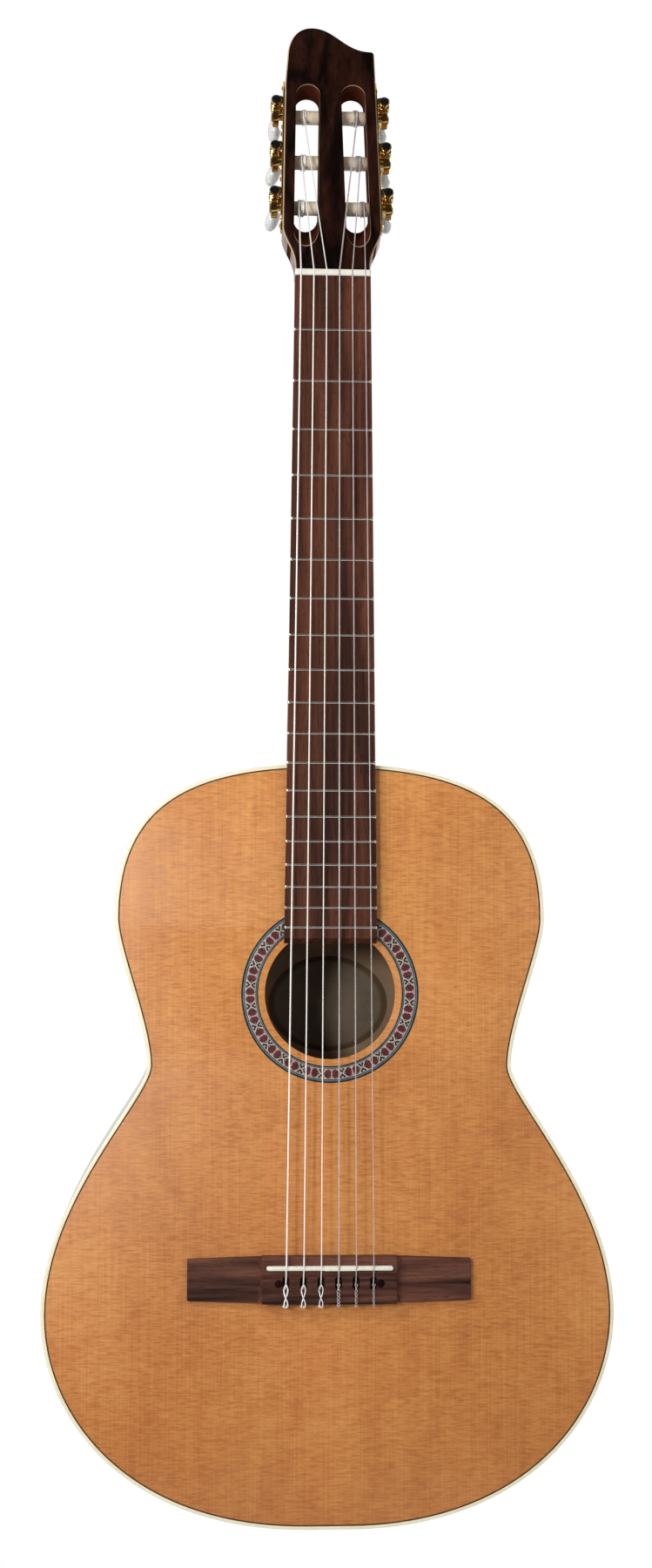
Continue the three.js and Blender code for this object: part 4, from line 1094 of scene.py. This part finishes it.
def make_head():
    cuts = slot_cutters()
    for deepest, top in ((FRONT_Y, NUT_BACK_Z), (FAR_BACK, NUT_Z + 1)):
        cuts.append(box((-FAR_OUT, FAR_FRONT, NUT_Z - 40), (FAR_OUT, deepest, top)))
    layers = [
        ("dark_veneer", 0.75, 0, 1.3, 0.2, 0, "veneer", ["head_veneer"]),
        ("maple_line", 0, 1.3, 2.1, 0.3, 0, "maple", ()),
        ("head_core", 0, 2.1, HEAD_THICK, 0, 1.6, "mahogany", ["headstock"]),
    ]
    for name, inset, front, back, bevel, back_bevel, look, nodes in layers:
        loop = offset_loop(head_outline(), inset)
        shape = moved(slab([loop], front, back, bevel, back_bevel), HEAD)
        made = piece(name, shape, look, stands_for=nodes, cuts=cuts)
    shade_slots(made)


# ---------- tuners ----------

def on_side(side):
    """From a drawing in which x is depth, y is outwards and z climbs, to the side of the head."""
    swap = Matrix(((0, 1, 0, 0), (1, 0, 0, 0), (0, 0, 1, 0), (0, 0, 0, 1)))
    lean = turned(-SIDE_LEAN, "Y")
    return HEAD @ Matrix.Diagonal((side, 1, 1, 1)) @ at(side_at(0)) @ lean @ swap


def along_depth(side, v, deep=ROLLER_DEEP):
    """From a turned shape along +X to one along the head's depth, through a gear's middle plane."""
    return HEAD @ at(side * (side_at(v) + GEAR_OUT), deep, v) @ turned(QUARTER, "Z")


def plate_outline():
    """The tuner plate's outline, waisted between the tuners, with a point at each end."""
    low_v, high_v = PLATE_ENDS
    half, tip, count = 7.5, 9, 120
    loop = []
    for i in range(count + 1):
        v = low_v + (high_v - low_v) * i / count
        end = min(v - low_v, high_v - v)
        width = half if end > tip else half * (0.35 + 0.65 * math.sin(math.pi / 2 * end / tip))
        waist = 0.5 + 0.5 * math.cos(2 * math.pi * (v - ROLLER_FIRST - WORM_ABOVE / 2) / ROLLER_PITCH)
        loop.append((ROLLER_DEEP + width - 1.1 * (1 - waist) * (end > tip), v))
    return loop + [(2 * ROLLER_DEEP - x, v) for x, v in reversed(loop)]


def make_tuner_plates():
    """On each side a plate with two lugs round each worm, and its six fixing screws."""
    lug = slab([stadium(3.4, -6, 3.4, 12)], 0, 2, 0.3, 0.3)
    upright = turned(QUARTER, "Z") @ turned(QUARTER, "Y") @ at(0, -2)
    head = lathe([(0, 1.0), (1.7, 1.0), (1.65, 1.5), (1.2, 2.0), (0.55, 2.25), (0, 2.3)], 20)
    for side, name in SIDES:
        shapes = [slab([plate_outline()], 0.0, 1.2, 0, 0.3)]
        for number in (1, 2, 3):
            _, v, _ = tuner_of(number)
            for deep in (ROLLER_DEEP - 7.5, ROLLER_DEEP + 5.5):
                shapes.append(moved(lug, at(deep, GEAR_OUT, v + WORM_ABOVE) @ upright))
        screws = []
        for v, depths in PLATE_SCREWS:
            for deep in depths:
                screws.append(moved(head, at(ROLLER_DEEP + deep, 0, v) @ turned(QUARTER, "Z")))
        place = on_side(side)
        piece(f"plate_and_lugs_{name}", moved(joined(*shapes), place), "gold",
              stands_for=[f"tuner_plate_{name}"])
        piece(f"plate_screws_{name}", moved(joined(*screws), place), "gold")


def worm_shape():
    """A worm shaft along +X: journals, one spiral thread, and a collar and stem behind the plate."""
    core, out, pitch = WORM_CORE, WORM_OUT, WORM_PITCH
    root = core - 0.3
    shaft_end = BUTTON_DEEP - BUTTON_HALF[0] - ROLLER_DEEP + 0.5
    profile = [(0, -7.6), (1.8, -7.6), (1.8, -5.1), (core, -5.0), (core, 5.0), (1.8, 5.1), (1.8, 7.6),
               (2.9, 7.7), (3.1, 8.1), (3.1, 9.4), (2.6, 9.9), (1.9, 10.4), (1.7, 11.5), (1.6, 17),
               (1.75, 20), (1.75, shaft_end), (0, shaft_end)]
    section = [(root, -0.26), (out - 0.15, -0.08), (out, -0.04), (out, 0.04), (out - 0.15, 0.08),
               (root, 0.26)]
    rings = []
    steps = 28
    reach = int(WORM_HALF / pitch * steps)
    for i in range(-reach, reach + 1):
        turn = 2 * math.pi * i / steps
        taper = 0.1 + 0.9 * min(1, (reach - abs(i)) / 6)
        ring = []
        for radius, along in section:
            radius = root + (radius - root) * taper
            place = pitch * i / steps + along * pitch
            ring.append(Vector((place, -radius * math.sin(turn), radius * math.cos(turn))))
        rings.append(ring)
    return joined(lathe(profile, 28), loft(rings))


def button_shape():
    """An oval pearloid button along +X, nipped in near the shaft."""
    def eased(value, power):
        return math.copysign(abs(value) ** power, value)

    long, wide, thick = BUTTON_HALF
    rows, sides = 28, 40
    rings = []
    for r in range(1, rows):
        polar = math.pi * r / rows
        along = -math.cos(polar)
        nip = 1 + 0.3 * along if along < 0 else 1
        size = math.sin(polar) ** 0.82 * nip
        rings.append([Vector((eased(along, 0.85) * long, eased(math.cos(t), 0.85) * wide * size,
                              eased(math.sin(t), 0.9) * thick * size)) for t in full_turn(sides)])
    return loft(rings)


def make_tuner(number):
    side, v, _ = tuner_of(number)
    key, post = f"key_{number}", f"post_{number}"
    shaft = along_depth(side, v + WORM_ABOVE)
    piece(f"worm_shaft_{number}", moved(worm_shape(), shaft), "gold", body=key,
          stands_for=[f"worm_{number}"])
    # The worm's end is drawn glossy black: a painted dark reflection.
    cap = lathe([(0, -9.1), (2.4, -9.05), (3.05, -8.8), (3.25, -8.4), (3.25, -7.9), (0, -7.9)], 32)
    piece(f"worm_cap_{number}", moved(cap, shaft), "onyx", body=key)
    rim = lathe([(0, -8.3), (3.4, -8.3), (3.62, -8.1), (3.62, -7.4), (3.2, -7.0), (0, -7.0)], 32)
    piece(f"worm_rim_{number}", moved(rim, shaft), "gold", body=key)
    knob = along_depth(side, v + WORM_ABOVE, BUTTON_DEEP)
    turn = turned(math.radians(BUTTON_TURNS[number - 1]), "X")
    piece(f"pearl_button_{number}", moved(button_shape(), knob @ turn), "pearl", body=key,
          stands_for=[f"button_{number}"])
    ferrule = lathe([(0, -8.6), (1.9, -8.6), (2.1, -8.2), (2.2, -6.9), (0, -6.4)], 28)
    piece(f"button_ferrule_{number}", moved(ferrule, knob), "gold", body=key)
    make_roller(number, side, v, post)


def roller_frame(side, v):
    """From a drawing along +X with its origin at the head's middle to a roller's place."""
    return HEAD @ at(0, ROLLER_DEEP, v) @ Matrix.Diagonal((side, 1, 1, 1))


def make_roller(number, side, v, post):
    """A bone sleeve with a hole for the string, on a shaft held by a slotted screw."""
    inner = SLOT_MIDDLE + (SLOT_TOP - v) * math.tan(SIDE_LEAN) - SLOT_HALF + 0.2
    outer = side_at(v) - 0.2
    place = roller_frame(side, v)
    r = ROLLER_RADIUS
    sleeve = lathe([(0, inner), (r - 0.4, inner), (r, inner + 0.4), (r, outer - 0.3), (r - 0.3, outer),
                    (0, outer)], 48)
    hole = lathe([(0, -9), (0.8, -9), (0.8, 9), (0, 9)], 20)
    tilt = turned(ROLLER_HOLE_TILT, "X") @ at(inner + 7.5) @ turned(QUARTER, "Z")
    piece(f"roller_sleeve_{number}", moved(sleeve, place), "roller", body=post,
          stands_for=[f"roller_{number}"], cuts=[moved(hole, place @ tilt)])
    end = side_at(v) + GEAR_OUT + 2
    pin = lathe([(0, 3.6), (2.2, 3.6), (2.2, inner + 0.3), (0, inner + 0.3)], 24)
    shaft = lathe([(0, outer), (2.5, outer), (2.5, end), (0, end)], 28)
    piece(f"roller_shaft_{number}", moved(joined(pin, shaft), place), "gold", body=post)
    screw = lathe([(0, end), (3.1, end), (3.1, end + 0.5), (2.5, end + 1.1), (0, end + 1.3)], 32)
    nick = box((end + 0.8, -0.35, -5), (end + 3, 0.35, 5))
    piece(f"gear_screw_{number}", moved(screw, place), "screw", body=post, cuts=[moved(nick, place)])


# ---------- strings ----------

def string_look(number):
    return "wound" if number > 3 else "nylon"


def make_string(number):
    """The stretch from the tie hole over the saddle and the nut to the roller."""
    side, v, winding_x = tuner_of(number)
    radius = STRING_DIAMETERS[number - 1] / 2
    nut_x = string_x(number, 1)
    at_roller = HEAD @ Vector((side * winding_x, ROLLER_DEEP - ROLLER_RADIUS - radius, v))
    saddle = Vector((string_x(number, 0), STRING_Y_SADDLE, SADDLE_Z))
    nut_front = Vector((nut_x, STRING_Y_NUT, NUT_Z))
    nut_back = Vector((nut_x, STRING_Y_NUT + 0.05, NUT_BACK_Z - 0.4))
    tie = Vector((string_x(number, TIE_SHARE), FRONT_Y - 5, SADDLE_Z - 13.5))
    path = [tie + Vector((0, 0, -6)), tie]
    path += [saddle + (tie - saddle).normalized() * 1.6 + Vector((0, 0.15, 0)), saddle]
    path += [saddle + (nut_front - saddle).normalized() * 1.2]
    path += [saddle.lerp(nut_front, i / 12) for i in range(1, 12)]
    path += [nut_front, nut_back, nut_back.lerp(at_roller, 0.03) + Vector((0, 0.04, 0)), at_roller]
    piece(f"string_run_{number}", tube(path, radius, 12), string_look(number),
          stands_for=[f"string_{number}"], sharp=60)


def make_winding(number):
    """The string's turns round its roller."""
    side, v, winding_x = tuner_of(number)
    radius = STRING_DIAMETERS[number - 1] / 2
    reach = ROLLER_RADIUS + radius
    steps = 40

    def around(turn, x):
        return Vector((x, -reach * math.cos(turn), reach * math.sin(turn)))

    ring = [around(turn, winding_x) for turn in full_turn(steps)]
    turns = 1.6 if number in (3, 4) else 2.3
    pitch = 2.05 * radius
    spiral = []
    for i in range(int(turns * steps)):
        turn = 2 * math.pi * i / steps
        spiral.append(around(turn, winding_x - pitch * min(1, i / 8) - pitch * turn / (2 * math.pi)))
    last = spiral[-1]
    spiral.append(last + Vector((-pitch * 1.2, 0, 0)) + last.normalized() * 0.4)
    shape = joined(tube(ring, radius, 10, closed=True), tube(spiral, radius, 10))
    piece(f"string_turns_{number}", moved(shape, roller_frame(side, v)), string_look(number),
          body=f"post_{number}", sharp=60)


TIE_TWISTS = 2.6
TIE_STEPS = 26


def bass_tie(radius, front, foot, top):
    """Up the block's face in an open figure of eight, and back to its foot."""
    return [(-1.2, FRONT_Y - 6.5, foot - 1.6), (-1.2, front + 0.4, foot - 1.2), (-0.9, front, foot + 1.6),
            (0.1, front - 0.1, foot + 4.6), (1.15, front, foot + 8.2), (1.15, front - 0.2, foot + 10.6),
            (0, front - 0.9, top + 0.6), (-1.15, front - 0.2, foot + 10.6), (-1.2, front, foot + 8.2),
            (-0.2, front - 2.1 * radius, foot + 4.7), (1.1, front - 0.1, foot + 1.6),
            (1.1, front + 0.3, foot - 0.9), (0.3, front + 1.1, foot - 1.7), (-2.0, front + 1.6, foot - 1.0)]


def treble_tie(radius, front, foot, top):
    """Up the block's face in a close twist, over at the top, and down in the twist's gaps."""
    spread = radius * 1.7
    high = top - foot - 1.0

    def twist(share, phase, start):
        turn = 2 * math.pi * TIE_TWISTS * share + phase
        y = front - spread * (1 - math.cos(turn)) * 0.8
        return spread * math.sin(turn), y, start + high * share

    shares = [i / TIE_STEPS for i in range(TIE_STEPS + 1)]
    path = [twist(share, 0, foot - 1.0) for share in shares]
    path += [(0.9, front - 0.4, top + 0.5), (0, front - 1.0, top + 1.1), (-0.9, front - 0.4, top + 0.5)]
    path += [twist(share, math.pi, foot - 1.2) for share in reversed(shares)]
    return path + [(0.9, front + 0.8, foot - 2.2)]


def make_tie(number):
    """The knot at the bridge: a figure of eight for a bass string, a close twist for a treble one."""
    radius = STRING_DIAMETERS[number - 1] / 2
    front, foot = BLOCK_FRONT_Y - radius, BRIDGE_FOOT_Z
    path = [(0, FRONT_Y - 5, foot + 2), (0, FRONT_Y - 5, foot - 0.6)]
    path += (bass_tie if number > 3 else treble_tie)(radius, front, foot, SADDLE_Z - 11.4)
    placed = [Vector(p) + Vector((string_x(number, TIE_SHARE_BELOW), 0, 0)) for p in path]
    thinner = 0.9 if number > 3 else 0.65
    piece(f"string_tie_{number}", tube(smooth_path(placed, 5), radius * thinner, 10),
          string_look(number), sharp=60)


# ---------- CAD pieces that stay ----------

def dress_frame():
    """Materials for the CAD nodes that stay in view."""
    kept = {"lining": "spruce", "harmonic": "spruce", "fan": "spruce", "back": "spruce",
            "neck": "mahogany", "tail": "mahogany", "gear": "gold"}
    for name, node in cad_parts.items():
        start = name.split("_")[0]
        if not node.hide_render and start in kept:
            node.data.materials.clear()
            node.data.materials.append(LOOKS[kept[start]])


# ---------- camera, light and floor ----------

CAMERA_ANGLES = (-3.284, -3.299, 0.203)    # azimuth, elevation and roll, in degrees
CAMERA_AIM = (-3.17, FRONT_Y, 486.4)
CAMERA_DISTANCE = 1666.2
CAMERA_LENS = 57.77


def make_camera():
    azimuth, elevation, roll = [math.radians(angle) for angle in CAMERA_ANGLES]
    back = Vector((math.sin(azimuth) * math.cos(elevation), -math.cos(azimuth) * math.cos(elevation),
                   math.sin(elevation)))
    data = bpy.data.cameras.new("camera")
    data.lens = CAMERA_LENS
    data.sensor_width = 36
    data.clip_start, data.clip_end = 0.05, 50
    camera = link("camera", data)
    camera.rotation_mode = "QUATERNION"
    camera.location = (Vector(CAMERA_AIM) + back * CAMERA_DISTANCE) * MM
    level = (-back).to_track_quat("-Z", "Y")
    camera.rotation_quaternion = level @ Matrix.Rotation(roll, 3, "Z").to_quaternion()
    bpy.context.scene.camera = camera


def make_light(name, place, aim, size, power):
    data = bpy.data.lights.new(name, "AREA")
    data.shape = "DISK"
    data.size = size
    data.energy = power
    light = link(name, data)
    light.visible_camera = False
    light.location = place
    light.rotation_mode = "QUATERNION"
    light.rotation_quaternion = (Vector(aim) - Vector(place)).to_track_quat("-Z", "Y")


DIFFUSE_STUDIO = 0.24        # strength of the surround's soft light
GLOSSY_STUDIO = 0.85         # its strength in reflections, except from the dark side at the front
GLOSSY_FRONT = 0.04
MIDDLE = (0, 0, 0.4)
LIGHTS = (                   # name, place, aim and size in metres, and power in watts
    ("key", (-0.75, -1.35, 0.55), MIDDLE, 0.3, 11.3),
    ("top", (-1.0, -0.95, 1.25), MIDDLE, 0.5, 11),
    ("fill", (1.6, -2.0, 0.6), MIDDLE, 1.2, 7),
    ("side", (1.0, -0.55, 0.45), (0.1, 0, 0.3), 0.4, 1.4),
    ("back", (1.5, 1.7, 2.1), MIDDLE, 1.2, 30),
)
FLOOR_RADIUS = 1500
FLOOR_Z = -600


def make_surround():
    """A white world whose strength differs for the camera, for reflections and for soft light."""
    world = bpy.data.worlds.new("studio")
    bpy.context.scene.world = world
    world.use_nodes = True
    nodes, links = world.node_tree.nodes, world.node_tree.links
    nodes.clear()
    seen, mirrored, lit = [nodes.new("ShaderNodeBackground") for _ in range(3)]
    seen.inputs["Strength"].default_value = 1.0
    lit.inputs["Strength"].default_value = DIFFUSE_STUDIO
    for background in (seen, mirrored, lit):
        background.inputs["Color"].default_value = (1, 1, 1, 1)
    direction = nodes.new("ShaderNodeSeparateXYZ")
    links.new(nodes.new("ShaderNodeTexCoord").outputs["Generated"], direction.inputs[0])
    front = nodes.new("ShaderNodeMapRange")
    front.interpolation_type = "SMOOTHSTEP"
    links.new(direction.outputs["Y"], front.inputs["Value"])
    for key, value in (("From Min", -0.55), ("From Max", 0.05), ("To Min", GLOSSY_FRONT),
                       ("To Max", GLOSSY_STUDIO)):
        front.inputs[key].default_value = value
    links.new(front.outputs["Result"], mirrored.inputs["Strength"])
    path = nodes.new("ShaderNodeLightPath")
    first, second = nodes.new("ShaderNodeMixShader"), nodes.new("ShaderNodeMixShader")
    output = nodes.new("ShaderNodeOutputWorld")
    mixes = ((first, "Is Glossy Ray", lit, mirrored), (second, "Is Camera Ray", first, seen))
    for mix, ray, otherwise, then in mixes:
        links.new(path.outputs[ray], mix.inputs[0])
        links.new(otherwise.outputs[0], mix.inputs[1])
        links.new(then.outputs[0], mix.inputs[2])
    links.new(second.outputs[0], output.inputs["Surface"])


def make_studio():
    """A white surround, five soft lights and a pale floor."""
    make_surround()
    for name, place, aim, size, power in LIGHTS:
        make_light(name, place, aim, size, power)
    look = Look("pale_floor", 0.6)
    look.paint(look.ramp(look.noise((3, 3, 3)), (0.3, (0.80, 0.80, 0.79)), (0.7, (0.84, 0.84, 0.83))))
    disc = slab([circle(FLOOR_RADIUS, 64)], 0, 20)
    floor = link("floor", mesh_of("floor", warped(disc, lambda p: Vector((p.x, p.z, FLOOR_Z - p.y)))))
    floor.data.materials.append(look.material)
    bpy.context.scene.view_settings.view_transform = "Standard"


# ---------- everything ----------

make_camera()
make_studio()
make_soundboard()
make_rosette()
make_bindings()
make_back()
make_ribs()
make_label()
make_neck()
make_fingerboard()
make_nut()
make_saddle()
make_bridge()
make_head()
make_tuner_plates()
for string_number in range(1, 7):
    make_tuner(string_number)
    make_string(string_number)
    make_winding(string_number)
    make_tie(string_number)
dress_frame()
